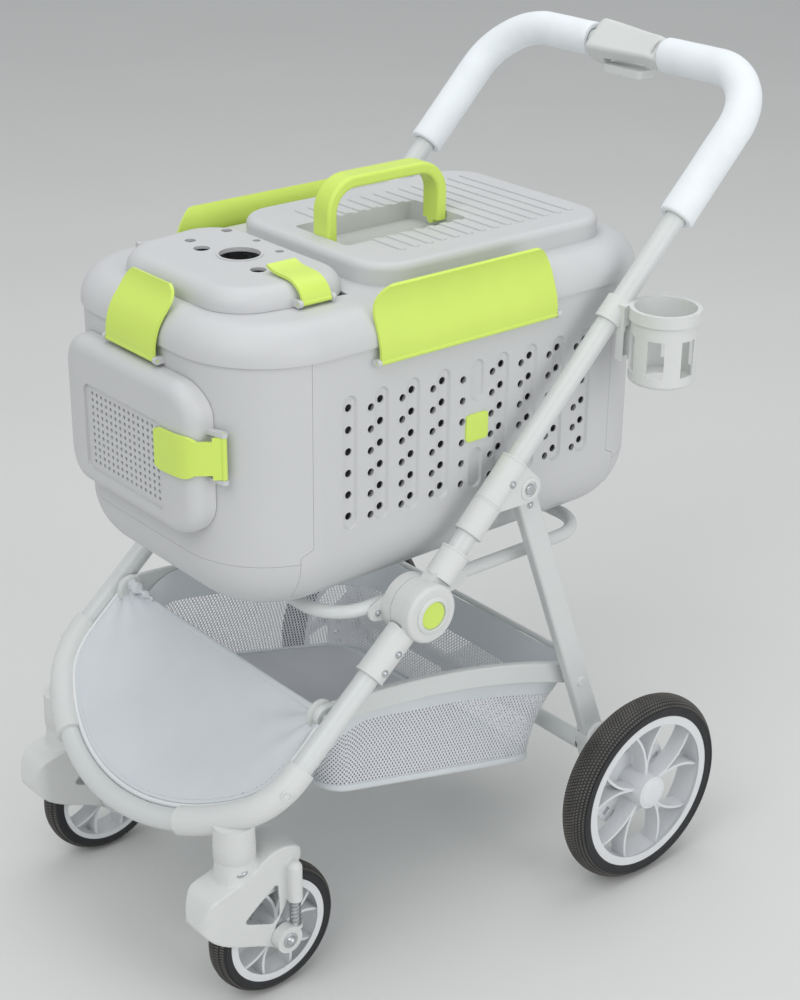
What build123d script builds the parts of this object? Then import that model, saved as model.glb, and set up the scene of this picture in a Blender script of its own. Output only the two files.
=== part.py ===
# Pet stroller: a folding push frame on two sprung casters and two spoked rear wheels, with a ring that
# carries a lift-off moulded pet carrier. Millimetres, +Z up, ground at z = 0, front towards -Y.
# The stroller's left side is +X.
import os
from math import acos, asin, cos, degrees, pi, radians, sin, sqrt, tan

from build123d import *

os.makedirs("parts", exist_ok=True)

# Clearances
running_fit = 0.05  # radial play of a pin or shaft in its bore
slip = 0.4  # gap between faces that move past each other
seam = 0.4  # gap between carrier mouldings that meet at a panel line

# Frame: two side planes, a hub on each, front legs falling forward and push tubes rising backward
leg_x = 224.0
hub_y = -128.0
hub_z = 454.0
leg_slope = 41.25
push_slope = 45.2
frame_tube_d = 26.0
frame_tube_wall = 2.0
loop_reach = 374.0  # hub to the front of the loop, along the legs
loop_corner_r = 93.5
loop_front_r = 290.0
frame_top_s = 46.0  # where the leg tube ends inside its hub sleeve
push_tube_d = 25.0
push_tube_wall = 1.8
push_reach = 746.0  # hub to the crossbar, along the push tubes
push_corner_r = 78.0
push_bottom_t = 54.0
hub_r = 35.0
hub_cheek = 14.0
hub_gap = 20.0
hub_pin_d = 10.0
hub_cap_d = 33.0
hub_cap_t = 4.0
sleeve_d = 35.0
leg_sleeve_end = 96.0
push_sleeve = (39.0, 77.0)
bracket_sleeve = (100.0, 201.0)

# Rear legs and their pivots
pivot_t = 184.0
pivot_drop = 29.0
pivot_pin_d = 8.0
rear_leg_w = 30.0
rear_leg_t = 16.0
rear_leg_round = 4.0
rail_pivot_z = 269.0  # height of the rail pivot on the rear leg
cross_tube_d = 22.0
cross_tube_z = 163.0
cross_tube_wall = 1.6
housing_w = 44.0
housing_t = 24.0
leg_stop_z = 152.0  # lower end of the rear leg, inside its axle housing
housing_top_z = 178.0
housing_boss_x = 262.0
cross_tube_set = 13.0  # how far the cross tube sits in front of the legs
bracket_w = 32.0
rivet_d = 13.0
rivet_t = 2.5
leg_fold_swing = 18.0  # how far a rear leg swings in its bracket as the frame folds
brake_l = 92.0
brake_reach = 62.0
brake_rise = 14.0

# Rear wheels
rear_wheel_y = 186.0
rear_wheel_r = 125.0
rear_wheel_x = 292.0
rear_tyre_w = 40.0
rear_rim_r = 103.0
rear_axle_d = 10.0
rear_hub_d = 44.0
rear_hub_half = 24.0
rim_band = 8.0
hub_cover = 3.0
spoke_pairs = 5
blade_t = 3.4
blade_half = 11.0
blade_spread = 19.0
brake_ring_r = 62.0
brake_slots = 18
front_hub_d = 30.0
front_hub_half = 19.5

# Side rails and basket
rail_s = 160.9  # pivot of the rail on the front leg, along the leg
rail_h = 26.0
rail_t = 8.0
rail_x = 204.0
rail_arch = 16.0
rail_pin_d = 8.0
knob_d = 36.0
wire_d = 8.0
wire_back = 176.0
wire_fall = 0.15
wire_hold = 44.0
wire_bend_r = 26.0
knob_t = 7.0
apron_s = 160.0
apron_t = 4.0
basket_half_w = 199.6
basket_wall = 2.5
basket_front_y = -240.0
basket_rear_y = 96.0
basket_front_z = 236.0
basket_rear_z = 152.0
basket_rim_front = 326.0
basket_rim_rear = 258.0
basket_back_y = 162.0
floor_board = 3.0
floor_board_l = 300.0

# Casters
caster_x = 185.0
caster_y = -362.0
socket_d = 48.0
socket_low_z = 219.0
stem_low_z = 156.0
caster_pin_d = 12.0
casting_d = 34.0
casting_lead = 8.0
casting_end_x = 120.0
trail = 48.0
front_wheel_r = 83.0
front_tyre_w = 34.0
front_rim_r = 66.0
front_axle_d = 10.0
hood_half_w = 25.0
hood_wall = 4.0
hood_top_z = 202.0
hood_tip_y = -424.0
hood_tip_z = 134.0
hood_back_y = -277.0
hood_back_low_z = 142.0
hood_notch_z = 128.0
cheek_back_z = 98.0
cheek_low_z = 68.0
boss_t = 13.0
shock_offset = 32.0
shock_y = caster_y + 60.0
tower_d = 18.0
tower_low_z = 130.0
tower_top_z = 178.0
rod_d = 8.0
seat_top_z = 97.0
boss_d = 34.0
spring_d = 12.4
spring_wire = 1.8
spring_turns = 6
suspension_travel = 8.0

# Carrier ring
ring_d = 16.0
ring_half_w = 188.0
ring_half_l = 200.0
ring_corner_r = 50.0
ring_z = 455.0

# Carrier mouldings
carrier_y = -26.0
carrier_half_w = 190.0
carrier_half_l = 315.0
front_y = carrier_y - carrier_half_l
carrier_corner_r = 108.0
carrier_base_z = 463.4
carrier_bottom_r = 75.0
carrier_seam_z = 764.0
carrier_wall = 5.0
lid_over = 3.0
lid_top_z = carrier_seam_z + 39.0
lid_shoulder_r = 36.0
lid_wall = 4.0
end_line = carrier_half_l - 92.0  # half the length of a side panel
step_line = end_line + 15.0
step_z = 550.0
end_seam_z = 535.0
low_seam_z = 488.0

# Side vents
vent_pitch = 44.0
vent_channels = 9
vent_rows = 6
vent_row_pitch = 25.4
vent_top_z = 702.0
vent_d = 10.8
vent_lag = 6.7  # how far the plain columns sit behind the middle between two channels
channel_w = 20.0
channel_depth = 3.2
channel_lean = 35.0
badge = 33.0
badge_t = 2.5
badge_z = 636.0

# Lid fittings
dome_front_y = front_y + 39.0
dome_rear_y = dome_front_y + 166.0
dome_front_w = 112.0
dome_rear_w = 140.0
dome_top_z = lid_top_z + 24.0
dome_r = 20.0
dome_wall = 3.5
dome_corner_r = 56.0
dome_hole_d = 47.0
dome_hole_lip = 2.5
deck_w = 280.0
deck_l = 2 * carrier_half_l - 268.0
deck_y = dome_rear_y + 15.0 + deck_l / 2
deck_top_z = lid_top_z + 25.0
deck_wall = 5.0
deck_corner_r = 50.0
deck_edge_r = 9.0
recess_w = 98.0
recess_y = deck_y - 64.0
recess_z = lid_top_z + 3.0
rib_count = 14
rib_pitch = 20.0
rib_l = 200.0
handle_half_l = 82.0
handle_top_z = lid_top_z + 91.0
handle_w = 30.0
handle_t = 14.0
handle_corner_r = 34.0
handle_pivot_z = lid_top_z + 17.0
handle_pin_d = 6.0

# Door
door_half_w = 127.0
door_low_z = 565.0
door_top_z = 742.0
door_stand = 26.0
door_corner_r = 40.0
door_edge_r = 18.0
door_wall = 3.0
door_face_t = 7.0
grille_w = 140.0
grille_h = 90.0
grille_z = 640.0
grille_columns = 15
grille_rows = 11
grille_hole = 4.8
grille_sink = 3.5
entry_w = 226.0
entry_h = 140.0
hinge_x = -door_half_w - 13.0
hinge_y = front_y - 1.0
hinge_pin_d = 5.0
hinge_lug_z = (606.0, 690.0)
hinge_lug_h = 12.0

# Green latches and side flaps
latch_t = 3.5
trunnion_d = 3.0
flap_y = carrier_y - 10.0
flap_l = 258.0
flap_low_z = carrier_seam_z - 16.0
flap_x = carrier_half_w + 7.6
front_latch_w = 94.0
front_latch_z = carrier_seam_z - 14.0
dome_latch_y = dome_front_y + 100.0
dome_latch_w = 38.0
dome_latch_reach = 62.0
door_latch_z = 665.0
door_latch_h = 48.0
lug_t = 5.0
lug_r = 4.2
front_latch_y = front_y - 9.5
front_latch_h = 78.0
door_latch_x = door_half_w + 19.0
door_latch_y = front_y + 8.0
door_lug_y = front_y + 1.0
door_latch_in = 72.0
hinge_lug_r = 5.5
dome_seat = 15.0
dome_hinge_x = -147.0
dome_hinge_y = dome_front_y + 87.0
dome_hinge_z = lid_top_z + 6.0
dome_hinge_l = 50.0
dome_hinge_web = 26.0
dome_hole_y = dome_front_y + 97.0
# across, back from the main hole, and diameter of each small hole
dome_small_holes = ((-85, 42, 13), (-78, -13, 13), (-45, -20, 19), (-32, 46, 9), (17, 42, 10), (57, -16, 18))
dome_latch_x = 134.5
dome_latch_web = 11.0
rib_first_y = deck_y - 112.0
rib_w = 9.0
foot_gap = 2.0
foot_w = 14.0
foot_h = 9.0
foot_l = 190.0

# Cup holder
cup_x = 274.0
cup_y = 193.0
cup_d = 78.0
cup_low_z = 668.0
cup_top_z = 757.0
cup_band_d = 83.6
cup_band_h = 14.0
cup_bottom_r = 5.0
cup_wall = 2.6
cup_clip_t = (394.0, 424.0)
cup_slots = 5
cup_slot_pitch = 60.0
cup_slot_w = 20.0
cup_slot_h = 44.0
cup_slot_low = 14.0
clip_plate_l = 76.0
clip_plate_t = 9.0
clip_plate_h = 16.0
clip_arm_h = 66.0
clip_arm_w = 15.0

# Handle fittings
grip_d = 44.0
grip_start_t = 542.0
grip_end_x = 62.0
release_half_l = 60.0
release_w = 44.0
release_h = 36.0
trigger_l = 66.0
trigger_h = 10.0
trigger_travel = 6.0
x_axis = (1, 0, 0)


def leg_point(s, x=0.0):
    """A point on a front leg's centre line, s from the hub."""
    return (x, hub_y - s * cos(radians(leg_slope)), hub_z - s * sin(radians(leg_slope)))


def push_point(t, x=0.0, drop=0.0):
    """A point on a push tube's centre line, t from the hub, or a drop below it."""
    c, s = cos(radians(push_slope)), sin(radians(push_slope))
    return (x, hub_y + t * c + drop * s, hub_z + t * s - drop * c)


def write(piece, name):
    """Label a finished piece and write it to its own file."""
    piece.part.label = name
    export_step(piece.part, f"parts/{name}.step")


leg_dir = (0, -cos(radians(leg_slope)), -sin(radians(leg_slope)))
push_dir = (0, cos(radians(push_slope)), sin(radians(push_slope)))
loop_plane = Plane((0, hub_y, hub_z), x_axis, (0, sin(radians(leg_slope)), -cos(radians(leg_slope))))
push_plane = Plane((0, hub_y, hub_z), x_axis, (0, -sin(radians(push_slope)), cos(radians(push_slope))))
pivot_y, pivot_z = push_point(pivot_t, 0, pivot_drop)[1:]
leg_rise = pivot_z - rear_wheel_r
leg_run = rear_wheel_y - pivot_y
rail_y, rail_z = leg_point(rail_s)[1:]


def rear_leg_at(z):
    """The y of the rear leg's centre line at height z."""
    return pivot_y + leg_run * (pivot_z - z) / leg_rise


rail_back_y = rear_leg_at(rail_pivot_z)
loop_turn = degrees(acos((leg_x - loop_corner_r) / (loop_front_r - loop_corner_r)))
loop_corner_s = loop_reach - loop_front_r + (loop_front_r - loop_corner_r) * sin(radians(loop_turn))
front_wheel_y = caster_y + trail

# Front frame: both front legs and the loop that joins them
with BuildPart() as front_frame:
    with BuildLine(loop_plane) as loop_path:
        leg_run_line = Line((leg_x, frame_top_s), (leg_x, loop_corner_s))
        near_corner = JernArc(leg_run_line @ 1, (0, 1), loop_corner_r, loop_turn)
        front_bow = JernArc(near_corner @ 1, near_corner % 1, loop_front_r, 180 - 2 * loop_turn)
        far_corner = JernArc(front_bow @ 1, front_bow % 1, loop_corner_r, loop_turn)
        Line(far_corner @ 1, (-leg_x, frame_top_s))
    with BuildSketch(Plane(leg_point(frame_top_s, leg_x), x_axis, leg_dir)):
        Circle(frame_tube_d / 2)
        Circle(frame_tube_d / 2 - frame_tube_wall, mode=Mode.SUBTRACT)
    sweep()
    with BuildSketch(Plane.YZ):
        with Locations((rail_y, rail_z)):
            Circle(rail_pin_d / 2 + running_fit)
    extrude(amount=leg_x, both=True, mode=Mode.SUBTRACT)
write(front_frame, "front_frame")

# Corner castings: sleeves round the loop's corners, each with a caster socket
with BuildPart() as corner_castings:
    bow_start = degrees(asin((leg_x - loop_corner_r * (1 - cos(radians(loop_turn)))) / loop_front_r))
    casting_share = bow_start - degrees(asin(casting_end_x / loop_front_r))

    def casting_sweep(radius, mode):
        with BuildLine(loop_plane) as path:
            lead = Line((leg_x, loop_corner_s - casting_lead), (leg_x, loop_corner_s))
            bend = JernArc(lead @ 1, (0, 1), loop_corner_r, loop_turn)
            JernArc(bend @ 1, bend % 1, loop_front_r, casting_share)
        with BuildSketch(Plane(leg_point(loop_corner_s - casting_lead, leg_x), x_axis, leg_dir)) as profile:
            Circle(radius)
        sweep(profile.sketch, path.line, mode=mode)

    casting_sweep(casting_d / 2, Mode.ADD)
    socket_top_z = leg_point((hub_y - caster_y) / cos(radians(leg_slope)))[2]
    with BuildSketch(Plane.XY.offset(socket_low_z)):
        with Locations((caster_x, caster_y)):
            Circle(socket_d / 2)
    extrude(amount=socket_top_z - socket_low_z - 4)
    casting_sweep(frame_tube_d / 2 + running_fit, Mode.SUBTRACT)
    with Locations((caster_x, caster_y, socket_low_z)):
        Cylinder(caster_pin_d / 2 + running_fit, 26, mode=Mode.SUBTRACT)
    mirror(about=Plane.YZ)
write(corner_castings, "corner_castings")

# Lower hub halves: a cheek each side of the fold joint and the sleeve on the front leg
with BuildPart() as lower_hubs:
    hub_out = hub_gap / 2 + hub_cheek
    with BuildSketch(Plane.YZ.offset(leg_x + hub_gap / 2)):
        with Locations((hub_y, hub_z)):
            Circle(hub_r)
    extrude(amount=hub_cheek)
    fillet(lower_hubs.edges().filter_by(GeomType.CIRCLE).sort_by(Axis.X)[-1], 5)
    with BuildSketch(Plane.YZ.offset(leg_x - hub_gap / 2)):
        with Locations((hub_y, hub_z)):
            Circle(hub_r)
    extrude(amount=-hub_cheek)
    with BuildSketch(Plane(leg_point(20, leg_x), x_axis, leg_dir)):
        Circle(sleeve_d / 2)
    extrude(amount=leg_sleeve_end - 20)
    with BuildSketch(Plane.YZ.offset(leg_x - hub_gap / 2)):
        with Locations((hub_y, hub_z)):
            Circle(hub_r + 1)
    extrude(amount=hub_gap, mode=Mode.SUBTRACT)
    with BuildSketch(Plane(leg_point(frame_top_s, leg_x), x_axis, leg_dir)):
        Circle(frame_tube_d / 2 + running_fit)
    extrude(amount=leg_sleeve_end, mode=Mode.SUBTRACT)
    with BuildSketch(Plane.YZ.offset(leg_x - hub_out)):
        with Locations((hub_y, hub_z)):
            Circle(hub_pin_d / 2 + running_fit)
    extrude(amount=2 * hub_out - hub_cap_t, mode=Mode.SUBTRACT)
    with BuildSketch(Plane.YZ.offset(leg_x + hub_out - hub_cap_t + 1)):
        with Locations((hub_y, hub_z)):
            Circle(hub_cap_d / 2 + running_fit)
    extrude(amount=hub_cap_t, mode=Mode.SUBTRACT)
    mirror(about=Plane.YZ)
write(lower_hubs, "lower_hubs")

with BuildPart() as hub_caps:
    with BuildSketch(Plane.YZ.offset(leg_x + hub_out - hub_cap_t + 1)):
        with Locations((hub_y, hub_z)):
            Circle(hub_cap_d / 2)
    extrude(amount=hub_cap_t)
    fillet(hub_caps.edges().sort_by(Axis.X)[-1], 1)
    mirror(about=Plane.YZ)
write(hub_caps, "hub_caps")

with BuildPart() as hub_pins:
    with BuildSketch(Plane.YZ.offset(leg_x - hub_out)):
        with Locations((hub_y, hub_z)):
            Circle(hub_pin_d / 2)
    extrude(amount=2 * hub_out - hub_cap_t)
    mirror(about=Plane.YZ)
write(hub_pins, "hub_pins")

# Upper hub halves: a tongue between the cheeks and the sleeve on the push tube
with BuildPart() as upper_hubs:
    tongue_half = hub_gap / 2 - slip
    with BuildSketch(Plane.YZ.offset(leg_x - tongue_half)):
        with Locations((hub_y, hub_z)):
            Circle(hub_r - 1)
    extrude(amount=2 * tongue_half)
    with BuildSketch(Plane(push_point(0, leg_x), x_axis, push_dir)):
        Rectangle(2 * tongue_half, 32)
    extrude(amount=push_sleeve[0] + 4)
    with BuildSketch(Plane(push_point(push_sleeve[0], leg_x), x_axis, push_dir)):
        Circle(sleeve_d / 2)
    extrude(amount=push_sleeve[1] - push_sleeve[0])
    with BuildSketch(Plane(push_point(push_bottom_t, leg_x), x_axis, push_dir)):
        Circle(push_tube_d / 2 + running_fit)
    extrude(amount=push_sleeve[1], mode=Mode.SUBTRACT)
    with BuildSketch(Plane.YZ.offset(leg_x - hub_gap)):
        with Locations((hub_y, hub_z)):
            Circle(hub_pin_d / 2 + running_fit)
    extrude(amount=2 * hub_gap, mode=Mode.SUBTRACT)
    mirror(about=Plane.YZ)
write(upper_hubs, "upper_hubs")

# Push handle: one bent tube
crossbar_half = leg_x - push_corner_r
with BuildPart() as handle_tube:
    with BuildLine(push_plane):
        rise = Line((leg_x, push_bottom_t), (leg_x, push_reach - push_corner_r))
        near_bend = JernArc(rise @ 1, (0, 1), push_corner_r, 90)
        bar = Line(near_bend @ 1, (-crossbar_half, push_reach))
        far_bend = JernArc(bar @ 1, (-1, 0), push_corner_r, 90)
        Line(far_bend @ 1, (-leg_x, push_bottom_t))
    with BuildSketch(Plane(push_point(push_bottom_t, leg_x), x_axis, push_dir)):
        Circle(push_tube_d / 2)
        Circle(push_tube_d / 2 - push_tube_wall, mode=Mode.SUBTRACT)
    sweep()
write(handle_tube, "handle_tube")

# Foam grips over the bends
with BuildPart() as left_grip:
    with BuildLine(push_plane):
        grip_rise = Line((leg_x, grip_start_t), (leg_x, push_reach - push_corner_r))
        grip_bend = JernArc(grip_rise @ 1, (0, 1), push_corner_r, 90)
        Line(grip_bend @ 1, (grip_end_x, push_reach))
    with BuildSketch(Plane(push_point(grip_start_t, leg_x), x_axis, push_dir)):
        Circle(grip_d / 2)
        Circle(push_tube_d / 2 + running_fit, mode=Mode.SUBTRACT)
    sweep()
write(left_grip, "left_grip")

with BuildPart() as right_grip:
    mirror(left_grip.part, about=Plane.YZ)
write(right_grip, "right_grip")

# Release housing at the middle of the crossbar, with the trigger's slot beneath
crossbar = push_point(push_reach)
with BuildPart() as release_housing:
    with BuildSketch(Plane(crossbar, x_axis, push_plane.y_dir)) as housing_outline:
        RectangleRounded(2 * release_half_l, release_h, 15)
    extrude(amount=release_w / 2, both=True)
    fillet(release_housing.edges().group_by(SortBy.LENGTH)[-1], 5)
    with BuildSketch(Plane(crossbar, (0, 1, 0), x_axis)):
        Circle(push_tube_d / 2 + running_fit)
    extrude(amount=release_half_l, both=True, mode=Mode.SUBTRACT)
    with Locations((0, crossbar[1], crossbar[2] - release_h / 2 - 8)):
        Box(trigger_l + 2 * slip, 30 + 2 * slip, 16, mode=Mode.SUBTRACT)
write(release_housing, "release_housing")

with BuildPart() as fold_trigger:
    trigger_top = crossbar[2] - release_h / 2 - trigger_travel
    with Locations((0, crossbar[1], trigger_top)):
        Box(trigger_l, 30, trigger_h, align=(Align.CENTER, Align.CENTER, Align.MAX))
    fillet(fold_trigger.edges().filter_by(Axis.Z), 6)
    with Locations((0, crossbar[1], trigger_top - trigger_h)):
        Box(1.6, 40, 3, mode=Mode.SUBTRACT)
write(fold_trigger, "fold_trigger")

# Pivot brackets: sleeves on the push tubes, each with a forked lug for a rear leg
leg_length = sqrt(leg_run**2 + leg_rise**2)


def below_pivot(reach, swing=0.0):
    """A (y, z) point down the rear leg from its pivot, with the leg swung forward by an angle."""
    lean = asin(leg_run / leg_length) - radians(swing)
    return (pivot_y + reach * sin(lean), pivot_z - reach * cos(lean))


with BuildPart() as pivot_brackets:
    with BuildSketch(Plane(push_point(bracket_sleeve[0], leg_x), x_axis, push_dir)):
        Circle(sleeve_d / 2 - 0.5)
    extrude(amount=bracket_sleeve[1] - bracket_sleeve[0])
    with BuildSketch(Plane.YZ.offset(leg_x - bracket_w / 2)):
        with Locations((pivot_y, pivot_z)):
            Circle(bracket_w / 2 + 1)
        with Locations(push_point(bracket_sleeve[0] + 40)[1:], push_point(bracket_sleeve[1] - 5)[1:]):
            Circle(5)
        make_hull()
    extrude(amount=bracket_w)
    with BuildSketch(Plane.YZ.offset(leg_x - rear_leg_t / 2 - slip)):
        with Locations((pivot_y, pivot_z), below_pivot(50), below_pivot(50, leg_fold_swing)):
            Circle(rear_leg_w / 2 + slip)
        make_hull()
    extrude(amount=rear_leg_t + 2 * slip, mode=Mode.SUBTRACT)
    with BuildSketch(Plane(push_point(0, leg_x), x_axis, push_dir)):
        Circle(push_tube_d / 2 + running_fit)
    extrude(amount=push_reach / 2, mode=Mode.SUBTRACT)
    with BuildSketch(Plane.YZ.offset(leg_x - bracket_w)):
        with Locations((pivot_y, pivot_z)):
            Circle(pivot_pin_d / 2 + running_fit)
    extrude(amount=2 * bracket_w, mode=Mode.SUBTRACT)
    mirror(about=Plane.YZ)
write(pivot_brackets, "pivot_brackets")

with BuildPart() as leg_pins:
    with BuildSketch(Plane.YZ.offset(leg_x - bracket_w / 2)):
        with Locations((pivot_y, pivot_z)):
            Circle(pivot_pin_d / 2)
    extrude(amount=bracket_w)
    for face_x, head in ((leg_x + bracket_w / 2, rivet_t), (leg_x - bracket_w / 2, -rivet_t)):
        with BuildSketch(Plane.YZ.offset(face_x)):
            with Locations((pivot_y, pivot_z)):
                Circle(rivet_d / 2)
        extrude(amount=head)
    fillet(leg_pins.edges().sort_by(Axis.X)[-1], 1.5)
    mirror(about=Plane.YZ)
write(leg_pins, "leg_pins")

# Rear legs: flat bars hung from the pivot brackets, with a spacer towards the side rail
with BuildPart() as left_rear_leg:
    with BuildSketch(Plane.YZ.offset(leg_x - rear_leg_t / 2)):
        with Locations((pivot_y, pivot_z), (rear_leg_at(leg_stop_z), leg_stop_z)):
            Circle(rear_leg_w / 2)
        make_hull()
    extrude(amount=rear_leg_t)
    flat_sides = left_rear_leg.faces().filter_by(Plane.YZ)
    fillet(flat_sides.edges(), rear_leg_round)
    with BuildSketch(Plane.YZ.offset(leg_x)):
        with Locations((rail_back_y, rail_pivot_z)):
            Circle(9)
    extrude(amount=rail_x + rail_t / 2 + slip - leg_x)
    with BuildSketch(Plane.YZ.offset(leg_x)):
        with Locations((rail_back_y, rail_pivot_z)):
            Circle(rivet_d / 2)
    extrude(amount=rear_leg_t / 2 + rivet_t)
    fillet(left_rear_leg.edges().sort_by(Axis.X)[-1], 1.5)
    with BuildSketch(Plane.YZ):
        with Locations((pivot_y, pivot_z)):
            Circle(pivot_pin_d / 2 + running_fit)
    extrude(amount=2 * leg_x, mode=Mode.SUBTRACT)
write(left_rear_leg, "left_rear_leg")

with BuildPart() as right_rear_leg:
    mirror(left_rear_leg.part, about=Plane.YZ)
write(right_rear_leg, "right_rear_leg")

cross_tube_y = rear_leg_at(cross_tube_z) - cross_tube_set
housing_in = leg_x - housing_t / 2
with BuildPart() as rear_cross_tube:
    with BuildSketch(Plane.YZ):
        with Locations((cross_tube_y, cross_tube_z)):
            Circle(cross_tube_d / 2)
            Circle(cross_tube_d / 2 - cross_tube_wall, mode=Mode.SUBTRACT)
    extrude(amount=housing_in, both=True)
write(rear_cross_tube, "rear_cross_tube")

# Axle housings: a shoe on the foot of each rear leg with a boss towards the wheel
with BuildPart() as axle_housings:
    with BuildSketch(Plane.YZ.offset(housing_in)):
        with Locations((rear_leg_at(housing_top_z), housing_top_z)):
            Circle(housing_w / 2 - 3)
        with Locations((rear_wheel_y, rear_wheel_r)):
            Circle(housing_w / 2)
        make_hull()
    extrude(amount=housing_t)
    fillet(axle_housings.faces().sort_by(Axis.X)[-1].edges(), 4)
    with BuildSketch(Plane.YZ.offset(leg_x)) as boss_root:
        with Locations((rear_wheel_y, rear_wheel_r)):
            Circle(housing_w / 2 - 4)
    extrude(amount=housing_boss_x - leg_x, taper=8)
    with BuildSketch(Plane.YZ.offset(leg_x - rear_leg_t / 2 - running_fit)):
        with Locations((rear_leg_at(leg_stop_z), leg_stop_z), (rear_leg_at(2 * leg_stop_z), 2 * leg_stop_z)):
            Circle(rear_leg_w / 2 + running_fit)
        make_hull()
    extrude(amount=rear_leg_t + 2 * running_fit, mode=Mode.SUBTRACT)
    with BuildSketch(Plane.YZ.offset(leg_x)):
        with Locations((rear_wheel_y, rear_wheel_r)):
            Circle(rear_axle_d / 2 + running_fit)
    extrude(amount=housing_boss_x, mode=Mode.SUBTRACT)
    mirror(about=Plane.YZ)
write(axle_housings, "axle_housings")

with BuildPart() as rear_axles:
    with BuildSketch(Plane.YZ.offset(leg_x)):
        with Locations((rear_wheel_y, rear_wheel_r)):
            Circle(rear_axle_d / 2)
    extrude(amount=rear_wheel_x + rear_hub_half - hub_cover - 1 - leg_x)
    mirror(about=Plane.YZ)
write(rear_axles, "rear_axles")

# Foot brake: a bar that turns on the rear cross tube
with BuildPart() as brake_pedal:
    with BuildSketch(Plane.YZ.offset(-brake_l / 2)):
        with Locations((cross_tube_y, cross_tube_z)):
            Circle(cross_tube_d / 2 + 3.5)
        with Locations((cross_tube_y + brake_reach, cross_tube_z + brake_rise)):
            Circle(4)
        make_hull()
    extrude(amount=brake_l)
    with BuildSketch(Plane.YZ.offset(-brake_l)):
        with Locations((cross_tube_y, cross_tube_z)):
            Circle(cross_tube_d / 2 + running_fit)
    extrude(amount=2 * brake_l, mode=Mode.SUBTRACT)
write(brake_pedal, "brake_pedal")


# Wheels
def tyre_ring(center, outer_r, seat_r, half_w):
    """A tyre turned about the axle: flat bead, leaning side walls and a round crown."""
    shoulder = outer_r - 0.55 * half_w
    with BuildSketch(Plane(center, x_axis, (0, -1, 0))) as section:
        with BuildLine():
            Polyline((-half_w, shoulder), (1.5 - half_w, seat_r), (half_w - 1.5, seat_r), (half_w, shoulder))
            ThreePointArc((half_w, shoulder), (0, outer_r), (-half_w, shoulder))
        make_face()
    revolve(section.sketch, Axis(center, x_axis))


def spoked_rim(center, seat_r, band, half_w, hub_r, hub_half, bore_r):
    """A rim turned about the axle, with a hub and five pairs of curved blades."""
    inner_r = seat_r - band
    with BuildSketch(Plane(center, x_axis, (0, -1, 0))) as section:
        with BuildLine():
            Polyline(
                (-half_w, seat_r),
                (-half_w, inner_r),
                (half_w - 8, inner_r + 2),
                (half_w, inner_r - 3),
                (half_w, seat_r),
                close=True,
            )
        make_face()
    revolve(section.sketch, Axis(center, x_axis))
    face = Plane(center, (0, 1, 0), x_axis)
    with BuildSketch(face.offset(-hub_half)) as hub:
        Circle(hub_r)
    extrude(hub.sketch, amount=2 * hub_half)
    with BuildSketch(face.offset(-blade_half)) as blades:
        for pair in range(spoke_pairs):
            for lean in (-1, 1):
                middle = radians(360 / spoke_pairs * pair + 90)
                root = middle + lean * radians(3)
                tip = middle + lean * radians(blade_spread)
                bow = middle + lean * radians(0.36 * blade_spread)
                mid_r = 0.5 * (hub_r + inner_r)
                with BuildLine() as blade_line:
                    ThreePointArc(
                        ((hub_r - 3) * cos(root), (hub_r - 3) * sin(root)),
                        (mid_r * cos(bow), mid_r * sin(bow)),
                        ((inner_r + 2) * cos(tip), (inner_r + 2) * sin(tip)),
                    )
                trace(blade_line.line, line_width=blade_t)
    extrude(blades.sketch, amount=2 * blade_half)
    with BuildSketch(face.offset(-2 * hub_half)) as bore:
        Circle(bore_r)
    extrude(bore.sketch, amount=4 * hub_half - hub_cover - hub_half, mode=Mode.SUBTRACT)


rear_axle_point = (rear_wheel_x, rear_wheel_y, rear_wheel_r)
with BuildPart() as left_rear_tyre:
    tyre_ring(rear_axle_point, rear_wheel_r, rear_rim_r + running_fit, rear_tyre_w / 2)
write(left_rear_tyre, "left_rear_tyre")

with BuildPart() as left_rear_rim:
    spoked_rim(
        rear_axle_point,
        rear_rim_r,
        rim_band,
        rear_tyre_w / 2 - 2,
        rear_hub_d / 2,
        rear_hub_half,
        rear_axle_d / 2 + running_fit,
    )
    with BuildSketch(Plane(rear_axle_point, (0, 1, 0), x_axis).offset(-rear_hub_half)):
        Circle(brake_ring_r)
        Circle(rear_axle_d / 2 + running_fit, mode=Mode.SUBTRACT)
        with PolarLocations(brake_ring_r - 12, brake_slots):
            Rectangle(12, 7, mode=Mode.SUBTRACT)
    extrude(amount=6)
    fillet(left_rear_rim.edges().filter_by(GeomType.CIRCLE).sort_by(Axis.X)[-1], 2)
write(left_rear_rim, "left_rear_rim")

with BuildPart() as right_rear_tyre:
    mirror(left_rear_tyre.part, about=Plane.YZ)
write(right_rear_tyre, "right_rear_tyre")

with BuildPart() as right_rear_rim:
    mirror(left_rear_rim.part, about=Plane.YZ)
write(right_rear_rim, "right_rear_rim")

# Side rails: arched flats from the front legs to the rear legs
with BuildPart() as left_side_rail:
    middle_y = (rail_y + rail_back_y) / 2
    middle_z = (rail_z + rail_pivot_z) / 2 + rail_arch
    with BuildSketch(Plane.YZ.offset(rail_x - rail_t / 2)):
        with BuildLine() as rail_line:
            ThreePointArc((rail_y, rail_z), (middle_y, middle_z), (rail_back_y, rail_pivot_z))
        trace(rail_line.line, line_width=rail_h)
        with Locations((rail_y, rail_z), (rail_back_y, rail_pivot_z)):
            Circle(rail_h / 2)
    extrude(amount=rail_t)
    fillet(left_side_rail.faces().sort_by(Axis.X)[-1].edges(), 2.5)
    with BuildSketch(Plane.YZ):
        with Locations((rail_y, rail_z)):
            Circle(rail_pin_d / 2 + running_fit)
    extrude(amount=2 * rail_x, mode=Mode.SUBTRACT)
write(left_side_rail, "left_side_rail")

with BuildPart() as right_side_rail:
    mirror(left_side_rail.part, about=Plane.YZ)
write(right_side_rail, "right_side_rail")

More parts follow.
